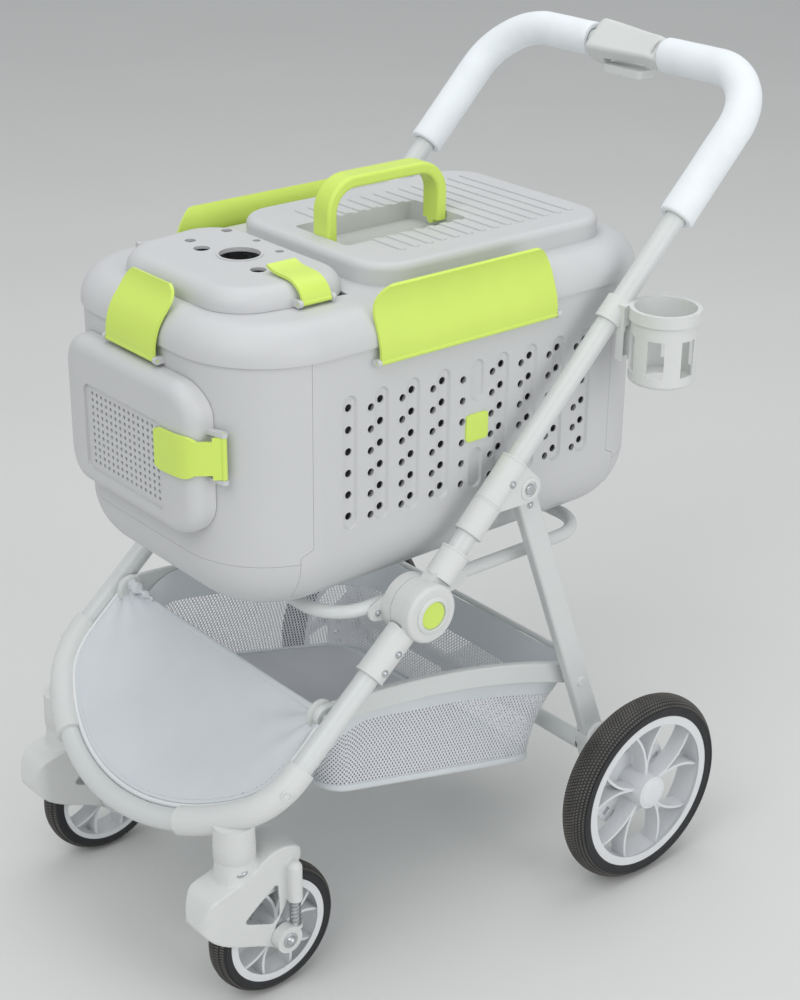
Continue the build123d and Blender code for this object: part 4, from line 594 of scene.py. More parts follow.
class STROLLER_OT_front_tyres(bpy.types.Operator):
    """Turn the caster tyres and set rows of cross ribs round them"""

    bl_idname = "stroller.front_tyres"
    bl_label = "Front tyres"

    def execute(self, context):
        count = context.scene.stroller_sizes.front_ribs
        outer = front_axle.z
        half_w = 17 * mm
        crown_half_w = 15.8 * mm
        seat = 66.05 * mm
        shoulder = outer - 9.35 * mm
        rib_l = 5.2 * mm
        rib_w = 1.9 * mm
        rib_h = 1.2 * mm
        rows = 5
        row_gap = 6 * mm
        wall = [(shoulder + 0.6 * mm, half_w), (shoulder - 0.6 * mm, half_w),
                (shoulder - 1.6 * mm, half_w - 0.8 * mm), (seat + 3 * mm, half_w - 0.7 * mm),
                (seat + 1 * mm, half_w - 1 * mm), (seat, half_w - 2 * mm)]
        profile = tyre_profile(outer, shoulder, crown_half_w, rib_h, wall)
        for side, sign in both_sides:
            centre = on_side(front_axle, sign)
            carcass = turned(centre, across, profile, 96)
            ribs = []
            for row in range(rows):
                x = (row - (rows - 1) / 2) * row_gap
                lean = 0.5 * x / half_w
                r = outer - rib_h / 2 - crown_fall(outer, shoulder, x / crown_half_w)
                lag = (row % 2) * pi / count
                deselect()
                middle = centre + Vector((x, -sin(lag) * r, cos(lag) * r))
                bpy.ops.mesh.primitive_cone_add(
                    vertices=4, radius1=1, radius2=0.82, depth=1, location=middle, rotation=(lag, lean, 0))
                rib = bpy.context.object
                rib.scale = (rib_l / sqrt(2), rib_w / sqrt(2), rib_h)
                rib.data.transform(Matrix.Rotation(radians(45), 4, "Z"))
                bpy.ops.object.transform_apply(location=True, rotation=True, scale=True)
                ribs.append(rib)
            fit_tyre(f"{side}_front", carcass, tread_round(ribs, count, centre))
        return {"FINISHED"}


class STROLLER_OT_grips(bpy.types.Operator):
    """Bend the foam tubes over the corners of the push bar"""

    bl_idname = "stroller.grips"
    bl_label = "Foam grips"

    def execute(self, context):
        foam_r = grip_r - 0.6 * mm
        rise = push_reach - push_corner_r - grip_start_t
        uneven = bpy.data.textures.new("foam_unevenness", "CLOUDS")
        uneven.noise_scale = 30 * mm
        for side, sign in both_sides:
            start = hub + across * sign * leg_x + push_dir * grip_start_t
            bend = hub + across * sign * (leg_x - push_corner_r) + push_dir * (push_reach - push_corner_r)
            grip = ring_start(start, push_dir, foam_r, 40)
            ring_run(push_dir * rise, 18)
            ring_turn(sign * pi / 2, bend, push_up, 24)
            ring_run(across * -sign * (leg_x - push_corner_r - grip_end_x), 12)
            bpy.ops.object.mode_set(mode="OBJECT")
            close_up(grip)
            use_modifier(grip, "SOLIDIFY", thickness=foam_r - push_tube_r - 0.1 * mm, offset=-1)
            use_modifier(grip, "BEVEL", width=3 * mm, segments=3, limit_method="ANGLE",
                         angle_limit=radians(50))
            use_modifier(grip, "DISPLACE", texture=uneven, texture_coords="LOCAL", strength=0.9 * mm,
                         mid_level=0.5)
            close_up(grip, 60)
            ready(grip, f"{side}_foam_grip", "push_frame", "eva_foam", "grip_foam", f"{side}_grip")
        return {"FINISHED"}


class STROLLER_OT_apron(bpy.types.Operator):
    """Stretch the half-moon cloth across the front loop, with its piping, hem and stitches"""

    bl_idname = "stroller.apron"
    bl_label = "Front apron"

    inset = loop_tube_r + 7 * mm
    half_w = leg_x - inset

    def lift(self, x, s, sag):
        """How far the cloth stands off the loop's plane: it sags in the middle and creases at its corners."""
        wide = x / self.half_w
        deep = (s - apron_hem_s) / (loop_front(x, self.inset) - apron_hem_s + 1 * mm)
        hang = -sag * (1 - wide**2) * (1 - deep**2)
        from_side = self.half_w - abs(x)
        from_hem = s - apron_hem_s
        from_corner = sqrt(from_side**2 + from_hem**2)
        fan = atan2(from_hem, from_side)
        pull = exp(-(from_corner / (75 * mm))**2) * min(from_corner / (12 * mm), 1) * (1 - deep**6)
        crease = 2.3 * mm * pull * sin(11 * fan + 2 * wide)
        ripple = 0.7 * mm * sin(wide * 8 + deep * 4) * (1 - deep**4)
        fold = 1.5 * mm * exp(-((wide + 0.35) / 0.2)**2) * sin(deep * 7 - wide * 5) * (1 - deep**6)
        return hang + crease + ripple + fold + 2 * mm

    def execute(self, context):
        sizes = context.scene.stroller_sizes
        cloth = grid(96, 48)
        for vertex in cloth.data.vertices:
            x = self.half_w * sin(vertex.co.x * pi / 2)
            share = (vertex.co.y + 1) / 2
            s = apron_hem_s + (loop_front(x, self.inset) - apron_hem_s) * share
            vertex.co = loop_place(x, s, self.lift(x, s, sizes.apron_sag))
        close_up(cloth, 60)
        use_modifier(cloth, "SOLIDIFY", thickness=1.4 * mm, offset=0)
        close_up(cloth, 50)
        ready(cloth, "apron_cloth", "chassis", "pu_coated_cloth", "apron_cloth", "front_apron")
        trim = [self.piping(sizes), self.hem(sizes), self.gather()]
        stitches = self.stitches(sizes)
        return {"FINISHED"}

    def piping(self, sizes):
        """The round piping between the cloth and the loop."""
        path_inset = loop_tube_r + sizes.piping + 0.4 * mm
        corner = hub + across * (leg_x - loop_corner_r) + leg_dir * loop_corner_s
        corner_far = hub - across * (leg_x - loop_corner_r) + leg_dir * loop_corner_s
        bow = hub + leg_dir * (loop_reach - loop_front_r)
        below_hem = 12 * mm
        start = loop_place(leg_x - path_inset, apron_hem_s + below_hem, 1 * mm)
        side_run = leg_dir * (loop_corner_s - apron_hem_s - below_hem)
        piece = ring_start(start, leg_dir, sizes.piping, 12)
        bpy.ops.mesh.edge_face_add()
        ring_run(side_run, 4)
        ring_turn(-loop_turn, corner, leg_up, 14)
        ring_turn(-(pi - 2 * loop_turn), bow, leg_up, 40)
        ring_turn(-loop_turn, corner_far, leg_up, 14)
        ring_run(-side_run, 4)
        close_up(piece, 60)
        return ready(piece, "apron_piping", "chassis", "sewn_piping", "apron_cloth")

    def hem(self, sizes):
        """The rolled hem along the straight edge."""
        deselect()
        bpy.ops.mesh.primitive_cylinder_add(vertices=14, radius=2.4 * mm, depth=2, rotation=(0, pi / 2, 0))
        piece = bpy.context.object
        bpy.ops.object.transform_apply(location=True, rotation=True, scale=True)
        edit(piece)
        bpy.ops.mesh.select_mode(type="EDGE")
        bpy.ops.mesh.select_all(action="DESELECT")
        bpy.ops.object.mode_set(mode="OBJECT")
        for edge in piece.data.edges:
            ends = [piece.data.vertices[i].co.x for i in edge.vertices]
            edge.select = abs(ends[0] - ends[1]) > 1
        bpy.ops.object.mode_set(mode="EDIT")
        bpy.ops.mesh.subdivide(number_cuts=60)
        bpy.ops.object.mode_set(mode="OBJECT")
        for vertex in piece.data.vertices:
            x = self.half_w * sin(vertex.co.x * pi / 2)
            ring_s, ring_lift = vertex.co.y * 1.7, vertex.co.z
            base = loop_place(x, apron_hem_s, self.lift(x, apron_hem_s, sizes.apron_sag))
            vertex.co = base + leg_dir * ring_s + leg_up * ring_lift
        close_up(piece, 60)
        return ready(piece, "apron_hem", "chassis", "pu_coated_cloth", "apron_cloth")

    def gather(self):
        """The cloth bunched round the far rail knob, at the end of the hem."""
        length = 58 * mm
        start = loop_place(-self.half_w + 1 * mm, apron_hem_s - 3 * mm, 4 * mm)
        piece = ring_start(start, across, 1 * mm, 18)
        bpy.ops.mesh.edge_face_add()
        ring_run(across * length, 30)
        bpy.ops.object.mode_set(mode="OBJECT")
        for vertex in piece.data.vertices:
            along = (vertex.co.x - start.x) / length
            centre = start + across * (vertex.co.x - start.x)
            swell = 9 - 6.5 * ease(along) + 1.6 * sin(along * 19)
            vertex.co = centre + (vertex.co - centre) * swell
        rumple = bpy.data.textures.new("cloth_rumple", "CLOUDS")
        rumple.noise_scale = 11 * mm
        use_modifier(piece, "SUBSURF", levels=1, render_levels=1)
        use_modifier(piece, "DISPLACE", texture=rumple, texture_coords="LOCAL", strength=7 * mm,
                     mid_level=0.5)
        close_up(piece, 70)
        return ready(piece, "apron_gather", "chassis", "pu_coated_cloth", "apron_cloth")

    def stitches(self, sizes):
        """A row of stitches along the cloth's round edge: one corner, the bow and the other corner."""
        row_inset = self.inset + 5 * mm
        pitch = sizes.stitch * 1.45
        rows = []
        for corner_side in (1, 0, -1):
            if corner_side:
                middle = hub + across * corner_side * (leg_x - loop_corner_r) + leg_dir * loop_corner_s
                radius = loop_corner_r - row_inset
                first = across * corner_side
                sweep = -corner_side * loop_turn
            else:
                middle = hub + leg_dir * (loop_reach - loop_front_r)
                radius = loop_front_r - row_inset
                first = across * cos(loop_turn) + leg_dir * sin(loop_turn)
                sweep = -(pi - 2 * loop_turn)
            deselect()
            bpy.ops.mesh.primitive_ico_sphere_add(subdivisions=1, radius=1)
            stitch = bpy.context.object
            ahead = leg_up.cross(first) * (-1 if sweep < 0 else 1)
            base = middle + first * radius + leg_up * 3.2 * mm
            for vertex in stitch.data.vertices:
                a, b, c = vertex.co
                along = ahead * a * sizes.stitch / 2
                vertex.co = base + along + first * b * 0.5 * mm + leg_up * c * 0.45 * mm
            edit(stitch)
            copies = int(radius * abs(sweep) / pitch)
            bpy.ops.mesh.spin(steps=copies, angle=-sweep, center=middle, axis=leg_up, dupli=True)
            rows.append(close_up(stitch, 60))
        return ready(joined(rows), "apron_stitches", "chassis", "sewing_thread", "apron_cloth")


class STROLLER_OT_basket(bpy.types.Operator):
    """Hang the net basket between the rails, with its cloth band, hem and bottom"""

    bl_idname = "stroller.basket"
    bl_label = "Basket"

    rim_half_w = 197.6 * mm
    floor_half_w = 190 * mm
    wall_depth = 105 * mm

    def rim_z(self, y):
        """Height of the top edge: along the rails at the sides, lower round the knobs and at the wire."""
        top = rail_z(min(max(y, rail_front.y), rail_rear_y)) + 9 * mm
        front_dip = 24 * mm * (1 - ease((y - basket_front_y) / (62 * mm)))
        behind = min(max((y - rail_rear_y) / (basket_back_y - rail_rear_y), 0), 1)
        return top - front_dip - 12 * mm * behind

    def wall_point(self, turn, drop):
        """A point on the wall: turn goes round it, drop from 0 at the rim to 1 at the floor."""
        rim_x, rim_y = rounded_box(turn, self.rim_half_w, basket_front_y + 2 * mm, basket_back_y, 26 * mm)
        low_x, low_y = rounded_box(
            turn, self.floor_half_w, basket_front_y + 6 * mm, floor_rear_y + 4 * mm, 30 * mm)
        top = Vector((rim_x, rim_y, self.rim_z(rim_y)))
        low = Vector((low_x, low_y, floor_z(low_y) + 1 * mm))
        point = top.lerp(low, drop)
        slack = sin(pi * min(drop, 1))
        rim_waves, belly_waves = 11, 7
        wave = 1.6 * mm * sin(turn * 2 * pi * rim_waves) * (1 - drop)**2
        wave += 1.2 * mm * sin(turn * 2 * pi * belly_waves + 1) * slack
        inward = Vector((-point.x, (basket_back_y + basket_front_y) / 2 - point.y, 0)).normalized()
        belly = 5 * mm * slack + wave
        return point + inward * max(belly, -0.8 * mm)

    def wall(self, name, drop_from, drop_to, rows, thickness, material, slot):
        """One band of the basket's wall, with a UV map in metres."""
        piece = grid(220, rows)
        round_it = 2 * (2 * self.rim_half_w + basket_back_y - basket_front_y)
        for corner in piece.data.uv_layers.active.data:
            corner.uv = (corner.uv[0] * round_it, corner.uv[1] * self.wall_depth * (drop_to - drop_from))
        for vertex in piece.data.vertices:
            turn = (vertex.co.x + 1) / 2
            drop = drop_to + (drop_from - drop_to) * (vertex.co.y + 1) / 2
            vertex.co = self.wall_point(turn, drop)
        close_up(piece, 60)
        area = area_of(piece)
        if thickness:
            use_modifier(piece, "SOLIDIFY", thickness=thickness, offset=0)
            close_up(piece, 50)
        ready(piece, name, "rails", material, slot)
        return piece, area, round_it

    def execute(self, context):
        sizes = context.scene.stroller_sizes
        band_share = sizes.band / self.wall_depth
        net, net_area, round_it = self.wall(
            "basket_net", band_share * 0.92, 1.0, 14, 0, "polyester_net", "basket_mesh")
        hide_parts("basket")
        band, band_area, _ = self.wall(
            "basket_band", 0.0, band_share, 6, 1.2 * mm, "pu_coated_cloth", "apron_cloth")
        hem = self.hem()
        bottom = self.bottom()
        return {"FINISHED"}

    def hem(self):
        """The bound seam where the wall meets the bottom."""
        deselect()
        bpy.ops.mesh.primitive_torus_add(
            major_segments=160, minor_segments=10, major_radius=1, minor_radius=0.1)
        piece = bpy.context.object
        for vertex in piece.data.vertices:
            x, y, z = vertex.co
            reach = sqrt(x * x + y * y)
            angle = acos(max(-1, min(1, x / reach)))
            turn = (angle if y >= 0 else 2 * pi - angle) / (2 * pi)
            base = self.wall_point(turn, 1.0)
            out = Vector((base.x, base.y, 0)).normalized()
            vertex.co = base + out * (reach - 1) * 25 * mm + Vector((0, 0, z * 45 * mm))
        close_up(piece, 60)
        return ready(piece, "basket_hem", "rails", "pu_coated_cloth", "apron_cloth")

    def bottom(self):
        """The cloth under the floor board."""
        piece = grid(40, 36)
        middle = (basket_front_y + floor_rear_y) / 2 + 5 * mm
        for vertex in piece.data.vertices:
            u, v = vertex.co.x, vertex.co.y
            squeeze = 1 - 0.04 * (u * v)**4
            x = u * squeeze * (self.floor_half_w - 1 * mm)
            y = middle + v * squeeze * ((floor_rear_y - basket_front_y) / 2 - 2 * mm)
            vertex.co = Vector((x, y, floor_z(y) - 1.2 * mm * (1 - u * u) * (1 - v * v)))
        use_modifier(piece, "SOLIDIFY", thickness=1 * mm, offset=0)
        close_up(piece, 50)
        return ready(piece, "basket_bottom", "rails", "pu_coated_cloth", "apron_cloth")


class STROLLER_OT_floor_board(bpy.types.Operator):
    """Lay the covered board on the basket's bottom"""

    bl_idname = "stroller.floor_board"
    bl_label = "Basket floor board"

    def execute(self, context):
        half_w = 184 * mm
        half_l = 152 * mm
        middle_y = (basket_front_y + floor_rear_y) / 2 + 3 * mm
        board = grid(36, 32)
        for vertex in board.data.vertices:
            u, v = vertex.co.x, vertex.co.y
            squeeze = 1 - 0.05 * (u * v)**6
            y = middle_y + v * squeeze * half_l
            crown = 2.4 * mm * (1 - u**8) * (1 - v**8)
            vertex.co = Vector((u * squeeze * half_w, y, floor_z(y) + 4.5 * mm + crown))
        use_modifier(board, "SOLIDIFY", thickness=4 * mm, offset=-1)
        use_modifier(board, "BEVEL", width=1.2 * mm, segments=2, limit_method="ANGLE",
                     angle_limit=radians(50))
        close_up(board, 50)
        ready(board, "basket_board", "rails", "covered_board", "basket_board", "basket_floor")
        return {"FINISHED"}


class STROLLER_OT_rivets(bpy.types.Operator):
    """Set the rivets and the collars of the frame's sleeves"""

    bl_idname = "stroller.rivets"
    bl_label = "Rivets and collars"

    def head(self, centre, axis, radius):
        """A rivet's domed head with a thin washer."""
        shape = ((0, 0.6), (0.42, 0.54), (0.7, 0.36), (0.82, 0.16), (1, 0.14), (1, -0.2), (0, -0.2))
        return turned(centre, axis, [(r * radius, along * radius) for r, along in shape], 20)

    def collar(self, centre, axis, radius):
        """A thin raised lip round a sleeve."""
        half_w = 1.1 * mm
        low = radius - 1 * mm
        high = radius + 0.7 * mm
        profile = [(low, -half_w), (high - 0.3 * mm, -half_w), (high, -half_w + 0.4 * mm),
                   (high, half_w - 0.4 * mm), (high - 0.3 * mm, half_w), (low, half_w)]
        return turned(centre, axis, profile, 40)

    def execute(self, context):
        small = context.scene.stroller_sizes.rivet
        sleeve_r = 17.5 * mm
        bracket_face = 16 * mm
        plate_x = 199.9 * mm
        boss = in_mm((9.2, -0.5), (9.2, 1.6), (10, 2.2), (12.6, 2.2), (13.6, 1.4), (13.6, -0.5))
        heads = {"push_frame": [], "chassis": [], "rear_legs": []}
        lips = {"push_frame": [], "chassis": []}
        leg_line = rear_axle - pivot
        leg_line.x = 0
        leg_line.normalize()
        for _, sign in both_sides:
            out = across * sign
            base = hub + out * leg_x
            pivot_side = Vector((sign * leg_x, pivot.y, pivot.z))
            rivets = [("push_frame", base + push_dir * 174 * mm + out * (sleeve_r - 0.6 * mm), small),
                      ("chassis", base + leg_dir * 58 * mm + out * (sleeve_r - 0.1 * mm), small),
                      ("chassis", base + leg_dir * 84 * mm + out * (sleeve_r - 0.1 * mm), small),
                      ("rear_legs", pivot_side + leg_line * 27 * mm + out * 7.9 * mm, small)]
            for back, drop in ((40, 4), (22, 8)):
                centre = Vector((sign * plate_x, hub_y - back * mm, hub_z - drop * mm))
                rivets.append(("chassis", centre, small * 0.9))
            for body, centre, radius in rivets:
                heads[body].append(self.head(centre, out, radius))
            lips["push_frame"].append(turned(pivot_side + out * bracket_face, out, boss, 40))
            collars = [("push_frame", push_dir, t, sleeve_r - 0.5 * mm) for t in (101.5, 141.2, 144.0, 199.5)]
            collars += [("push_frame", push_dir, 75.6, sleeve_r), ("chassis", leg_dir, 94.8, sleeve_r)]
            for body, line, reach, radius in collars:
                lips[body].append(self.collar(base + line * reach * mm, line, radius))
        for body, made in heads.items():
            ready(joined(made), f"{body}_rivets", body, "zinc_plated_steel", "steel")
        for body, made in lips.items():
            ready(joined(made), f"{body}_collars", body, "moulded_nylon", "frame_plastic")
        return {"FINISHED"}


class STROLLER_OT_hub_rings(bpy.types.Operator):
    """Turn the pale rims round the green hub caps and the caps of the rear wheels"""

    bl_idname = "stroller.hub_rings"
    bl_label = "Hub rings"

    def execute(self, context):
        cap_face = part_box("hub_caps")[1].x
        wheel_face = rear_axle.x + 24 * mm
        rim = in_mm((17.2, -1.6), (17.2, 1.6), (17.9, 2.2), (20.4, 2.0), (22.4, 0.6), (22.4, -1.6))
        cap = in_mm((0, 2.2), (12, 1.9), (17, 1.2), (18.4, 0.4), (18.4, -1), (0, -1))
        for side, sign in both_sides:
            out = across * sign
            ready(turned(hub + out * cap_face, out, rim, 56), f"{side}_cap_rim", "chassis", "moulded_nylon",
                  "frame_plastic")
            middle = Vector((sign * wheel_face, rear_axle.y, rear_axle.z))
            ready(turned(middle, out, cap, 56), f"{side}_wheel_cap", f"{side}_rear_wheel",
                  "polypropylene_rim", "wheel_plastic")
        return {"FINISHED"}


class STROLLER_OT_vent_rims(bpy.types.Operator):
    """Round off the vent holes of the carrier's sides with low moulded lips"""

    bl_idname = "stroller.vent_rims"
    bl_label = "Vent rims"

    def holes(self):
        """Where the vent holes are, as (y, z): those in the channels, then the plain columns between them."""
        pitch, row_pitch, rows = 44 * mm, 25.4 * mm, 6
        middle_y, middle_z = -24 * mm, 638.5 * mm
        lag, drop = 6.7 * mm, 5 * mm
        heights = [row_pitch * (row - (rows - 1) / 2) for row in range(rows)]
        columns = [(middle_y + pitch * step, middle_z) for step in (-4, -3, -2, -1, 1, 2, 3, 4)]
        columns += [(middle_y + lag + pitch * (step - 3.5), middle_z - drop) for step in range(8)]
        return [(y, z + height) for y, z in columns for height in heights]

    def face_x(self, panel, y, z):
        """How far out the panel's surface lies just above and below a hole."""
        clear_x = 400 * mm
        reach = 6.6 * mm
        found = []
        for end in (reach, -reach):
            hit, place, _, _ = panel.ray_cast(Vector((clear_x, y, z + end)), -across)
            if hit:
                found.append(place.x)
        return max(found)

    def execute(self, context):
        lip = in_mm((4.5, -1.8), (4.5, 0.1), (4.9, 0.35), (5.6, 0.4), (6.3, 0.1), (6.5, -1.8))
        panel = nodes["left_side_panel"]
        places = [Vector((self.face_x(panel, y, z), y, z)) for y, z in self.holes()]
        for side, sign in both_sides:
            first = turned(Vector(), across * sign, lip, 20)
            rims = [first]
            for place in places[1:]:
                rim = first.copy()
                rim.data = first.data.copy()
                rim.data.transform(Matrix.Translation(on_side(place, sign)))
                context.scene.collection.objects.link(rim)
                rims.append(rim)
            first.data.transform(Matrix.Translation(on_side(places[0], sign)))
            ready(joined(rims), f"{side}_vent_rims", "carrier", "abs_shell", "shell_plastic")
        return {"FINISHED"}


class STROLLER_OT_caster_fittings(bpy.types.Operator):
    """Fit the axle bolts and washers of the casters"""

    bl_idname = "stroller.caster_fittings"
    bl_label = "Caster fittings"

    def execute(self, context):
        # Outer faces of the bosses: half the hood, a gap and the boss
        bolt_x = (25 + 0.4 + 13) * mm
        washer = in_mm((0, 0), (9.5, 0), (9.5, 1.2), (8.8, 1.6), (0, 1.6))
        dome = in_mm((0, 6.4), (2.6, 6.0), (4.8, 4.6), (6.2, 2.6), (6.4, 1.2), (0, 1.2))
        for side, sign in both_sides:
            bolts = []
            centre = on_side(front_axle, sign)
            for end in (1, -1):
                out = across * end
                face = centre + out * bolt_x
                bolts += [turned(face, out, washer, 28), turned(face, out, dome, 28)]
            ready(joined(bolts), f"{side}_axle_bolts", f"{side}_front_axle", "zinc_plated_steel", "steel")
        return {"FINISHED"}


class STROLLER_OT_caster_hoods(bpy.types.Operator):
    """Round the caster hoods, draw them down in front of their stems and set the stems' sleeves and clips"""

    bl_idname = "stroller.caster_hoods"
    bl_label = "Caster hoods"

    stem_r = 23.5 * mm
    sleeve_low_z = 201.5 * mm
    sleeve_top_z = 221 * mm
    clip_z = 189 * mm
    drop = 18 * mm
    drop_start_y = caster_y + 27 * mm
    drop_run = 25 * mm
    brow_z = 160 * mm
    brow_h = 38 * mm

    def execute(self, context):
        inner, skin, outer = (self.stem_r + gap * mm for gap in (0.2, 0.6, 1))
        low, top = self.sleeve_low_z, self.sleeve_top_z
        sleeve = [(inner, low), (skin, low), (outer, low + 0.6 * mm), (outer, top), (inner, top)]
        for side, sign in both_sides:
            stem = Vector((sign * front_axle.x, caster_y, 0))
            hood = softened(f"{side}_caster_fork", 1.4 * mm)
            for vertex in hood.data.vertices:
                out = Vector((vertex.co.x - stem.x, vertex.co.y - stem.y)).length
                if out > self.stem_r + 0.4 * mm:
                    ahead = ease((self.drop_start_y - vertex.co.y) / self.drop_run)
                    high = ease((vertex.co.z - self.brow_z) / self.brow_h)
                    vertex.co.z -= self.drop * ahead * high
            use_modifier(hood, "SMOOTH", factor=0.5, iterations=12)
            close_up(hood, 70)
            ready(hood, f"{side}_caster_hood", f"{side}_caster", "moulded_nylon", "frame_plastic",
                  f"{side}_caster_fork")
            ready(turned(stem, (0, 0, 1), sleeve, 56), f"{side}_stem_sleeve", "chassis", "moulded_nylon",
                  "frame_plastic")
            self.clip(side, sign, stem)
        return {"FINISHED"}

    def clip(self, side, sign, stem):
        """The bent steel leaf that releases the wheel."""
        deselect()
        bpy.ops.mesh.primitive_uv_sphere_add(segments=20, ring_count=10, radius=1)
        piece = bpy.context.object
        turn = radians(-14)
        out = Vector((sign * cos(turn), sin(turn), 0))
        ahead = Vector((-out.y, out.x, 0))
        base = stem + out * (self.stem_r + 0.6 * mm) + Vector((0, 0, self.clip_z))
        for vertex in piece.data.vertices:
            a, b, c = vertex.co
            bow = -1.2 * mm * a * a
            rise = Vector((0, 0, (c * 2.8 + a * 1.6) * mm))
            vertex.co = base + ahead * a * 7 * mm + out * (b * 1.7 * mm + bow) + rise
        close_up(piece, 60)
        ready(piece, f"{side}_stem_clip", f"{side}_caster", "zinc_plated_steel", "steel")


class STROLLER_OT_springs(bpy.types.Operator):
    """Set the shock springs on the casters"""

    bl_idname = "stroller.springs"
    bl_label = "Springs"

    def execute(self, context):
        for side, _ in both_sides:
            coils = copied(f"{side}_springs", f"{side}_coil_springs", 75)
            ready(coils, f"{side}_coil_springs", f"{side}_caster", "zinc_plated_steel", "steel",
                  f"{side}_springs")
            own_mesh(coils)
        return {"FINISHED"}


class STROLLER_OT_release(bpy.types.Operator):
    """Shape the release housing: deep at one end and drawn in to the tube at the other"""

    bl_idname = "stroller.release"
    bl_label = "Release housing"

    def execute(self, context):
        low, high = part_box("release_housing")
        bar = hub + push_dir * push_reach
        piece = softened("release_housing", 1.2 * mm)
        for vertex in piece.data.vertices:
            share = (vertex.co.x - low.x) / (high.x - low.x)
            squeeze = 1.08 - 0.28 * ease(share)
            vertex.co.y = bar.y + (vertex.co.y - bar.y) * squeeze
            vertex.co.z = bar.z + (vertex.co.z - bar.z) * squeeze
        use_modifier(piece, "SMOOTH", factor=0.5, iterations=14)
        # Room for the trigger, from its lowest place to its highest
        trigger_travel = 5 * mm
        for rise in (0, trigger_travel):
            room = copied("fold_trigger", "trigger_room")
            room.data.transform(Matrix.Translation((0, 0, rise)))
            use_modifier(room, "DISPLACE", strength=0.5 * mm, mid_level=0)
            use_modifier(piece, "BOOLEAN", operation="DIFFERENCE", object=room)
            bpy.data.objects.remove(room)
        close_up(piece, 70)
        ready(piece, "release_cover", "push_frame", "moulded_nylon", "frame_plastic", "release_housing")
        rings = []
        bore, half_w, bevel = push_tube_r + 0.1 * mm, 1.6 * mm, 0.6 * mm
        for x, radius in ((high.x - 9 * mm, 17 * mm), (high.x - 2 * mm, 15.4 * mm)):
            ring = [(bore, -half_w), (radius - bevel, -half_w), (radius, -1 * mm),
                    (radius, 1 * mm), (radius - bevel, half_w), (bore, half_w)]
            rings.append(turned(bar + across * x, across, ring, 40))
        ready(joined(rings), "release_rings", "push_frame", "moulded_nylon", "frame_plastic")
        return {"FINISHED"}


class STROLLER_OT_casting_rivets(bpy.types.Operator):
    """Set the ringed rivets on the outside of the corner castings"""

    bl_idname = "stroller.casting_rivets"
    bl_label = "Casting rivets"

    def execute(self, context):
        round_corner, tilt, casting_r = 0.243, 0.4, 17 * mm
        ring = in_mm((0, 0.9), (3.4, 0.9), (3.7, 0.2), (4.6, 0.2), (5, 1.5), (6.6, 1.3), (7.2, 0),
                     (7.2, -1.6), (0, -1.6))
        rivets = []
        for _, sign in both_sides:
            corner = hub + across * sign * (leg_x - loop_corner_r) + leg_dir * loop_corner_s
            side = across * sign * cos(round_corner) + leg_dir * sin(round_corner)
            out = side * cos(tilt) + leg_up * sin(tilt)
            centre = corner + side * loop_corner_r + out * (casting_r - 0.8 * mm)
            rivets.append(turned(centre, out, ring, 40))
        ready(joined(rivets), "casting_rivets", "chassis", "moulded_nylon", "frame_plastic")
        return {"FINISHED"}


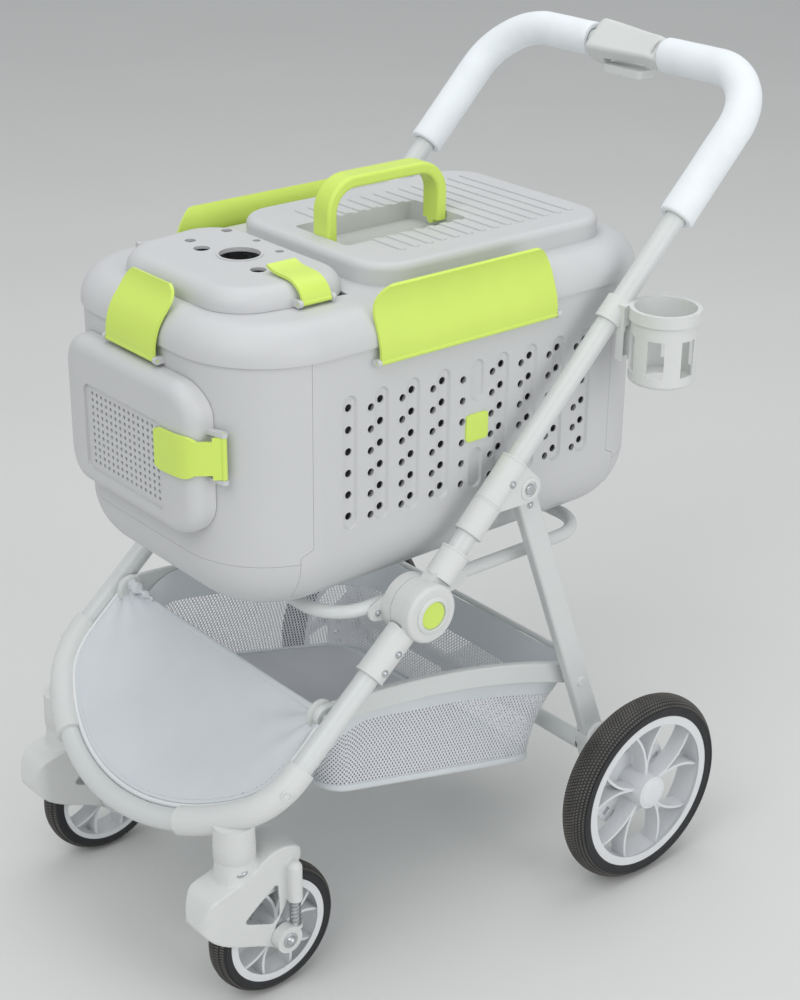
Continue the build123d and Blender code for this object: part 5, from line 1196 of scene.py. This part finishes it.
class STROLLER_OT_stage(bpy.types.Operator):
    """Lay the pale floor and set the soft lights and the camera"""

    bl_idname = "stroller.stage"
    bl_label = "Stage"

    camera_place = (1.6769, -1.3743, 1.4606)
    camera_turn = (50.06, 24.53, 0.66)
    camera_lens = 68.96

    def execute(self, context):
        deselect()
        bpy.ops.mesh.primitive_plane_add(size=60)
        floor = bpy.context.object
        floor.name = "studio_floor"
        # Matt painted studio floor: pale, even, with a very faint mottle
        colour = context.scene.stroller_colours.floor
        paint = grained("painted_floor", colour, 0.9, 3 * mm, 0.02 * mm, 600 * mm, 0.01, (0.88, 0.94))
        floor.data.materials.append(paint)
        world = context.scene.world or bpy.data.worlds.new("studio")
        context.scene.world = world
        world.use_nodes = True
        sky = world.node_tree.nodes["Background"]
        sky.inputs["Color"].default_value = (*linear("EEF1F4"), 1)
        sky.inputs["Strength"].default_value = 0.58
        for name, place, size, power in (
                ("key_light", (1.2, -2.6, 3.6), 2.6, 52),
                ("top_light", (-0.6, 0.6, 4.2), 3.4, 47),
                ("side_light", (3.6, 0.4, 1.5), 2.6, 38)):
            bpy.ops.object.light_add(type="AREA", location=place)
            lamp = bpy.context.object
            lamp.name = name
            lamp.data.size = size
            lamp.data.energy = power
            lamp.rotation_euler = (Vector((0, 0, 0.5)) - lamp.location).to_track_quat("-Z", "Y").to_euler()
        azimuth, elevation, roll = (radians(angle) for angle in self.camera_turn)
        bpy.ops.object.camera_add(location=self.camera_place)
        camera = bpy.context.object
        camera.rotation_euler = (
            Matrix.Rotation(azimuth, 3, "Z") @ Matrix.Rotation(pi / 2 - elevation, 3, "X")
            @ Matrix.Rotation(roll, 3, "Z")).to_euler()
        camera.data.lens = self.camera_lens
        camera.data.sensor_width = 36
        camera.data.clip_end = 200
        context.scene.camera = camera
        context.scene.view_settings.view_transform = "Standard"
        return {"FINISHED"}


class STROLLER_PT_pieces(bpy.types.Panel):
    """Lists the stroller's colours, sizes and pieces"""

    bl_idname = "STROLLER_PT_pieces"
    bl_label = "Pet stroller"
    bl_space_type = "VIEW_3D"
    bl_region_type = "UI"
    bl_category = "Stroller"

    def draw(self, context):
        for group in (context.scene.stroller_colours, context.scene.stroller_sizes):
            column = self.layout.column()
            for key in group.bl_rna.properties.keys():
                if key not in ("rna_type", "name"):
                    column.prop(group, key)
        for operator in operators:
            self.layout.operator(operator.bl_idname)


operators = (
    STROLLER_OT_finishes,
    STROLLER_OT_rear_tyres,
    STROLLER_OT_front_tyres,
    STROLLER_OT_grips,
    STROLLER_OT_apron,
    STROLLER_OT_basket,
    STROLLER_OT_floor_board,
    STROLLER_OT_rivets,
    STROLLER_OT_hub_rings,
    STROLLER_OT_vent_rims,
    STROLLER_OT_caster_fittings,
    STROLLER_OT_caster_hoods,
    STROLLER_OT_casting_rivets,
    STROLLER_OT_springs,
    STROLLER_OT_release,
    STROLLER_OT_stage,
)
classes = (StrollerColours, StrollerSizes, *operators, STROLLER_PT_pieces)


def register():
    for each in classes:
        bpy.utils.register_class(each)
    bpy.types.Scene.stroller_colours = PointerProperty(type=StrollerColours)
    bpy.types.Scene.stroller_sizes = PointerProperty(type=StrollerSizes)


def unregister():
    del bpy.types.Scene.stroller_sizes
    del bpy.types.Scene.stroller_colours
    for each in reversed(classes):
        bpy.utils.unregister_class(each)


def main():
    register()
    for operator in operators:
        family, name = operator.bl_idname.split(".")
        getattr(getattr(bpy.ops, family), name)()
    deselect()


if __name__ == "__main__":
    main()
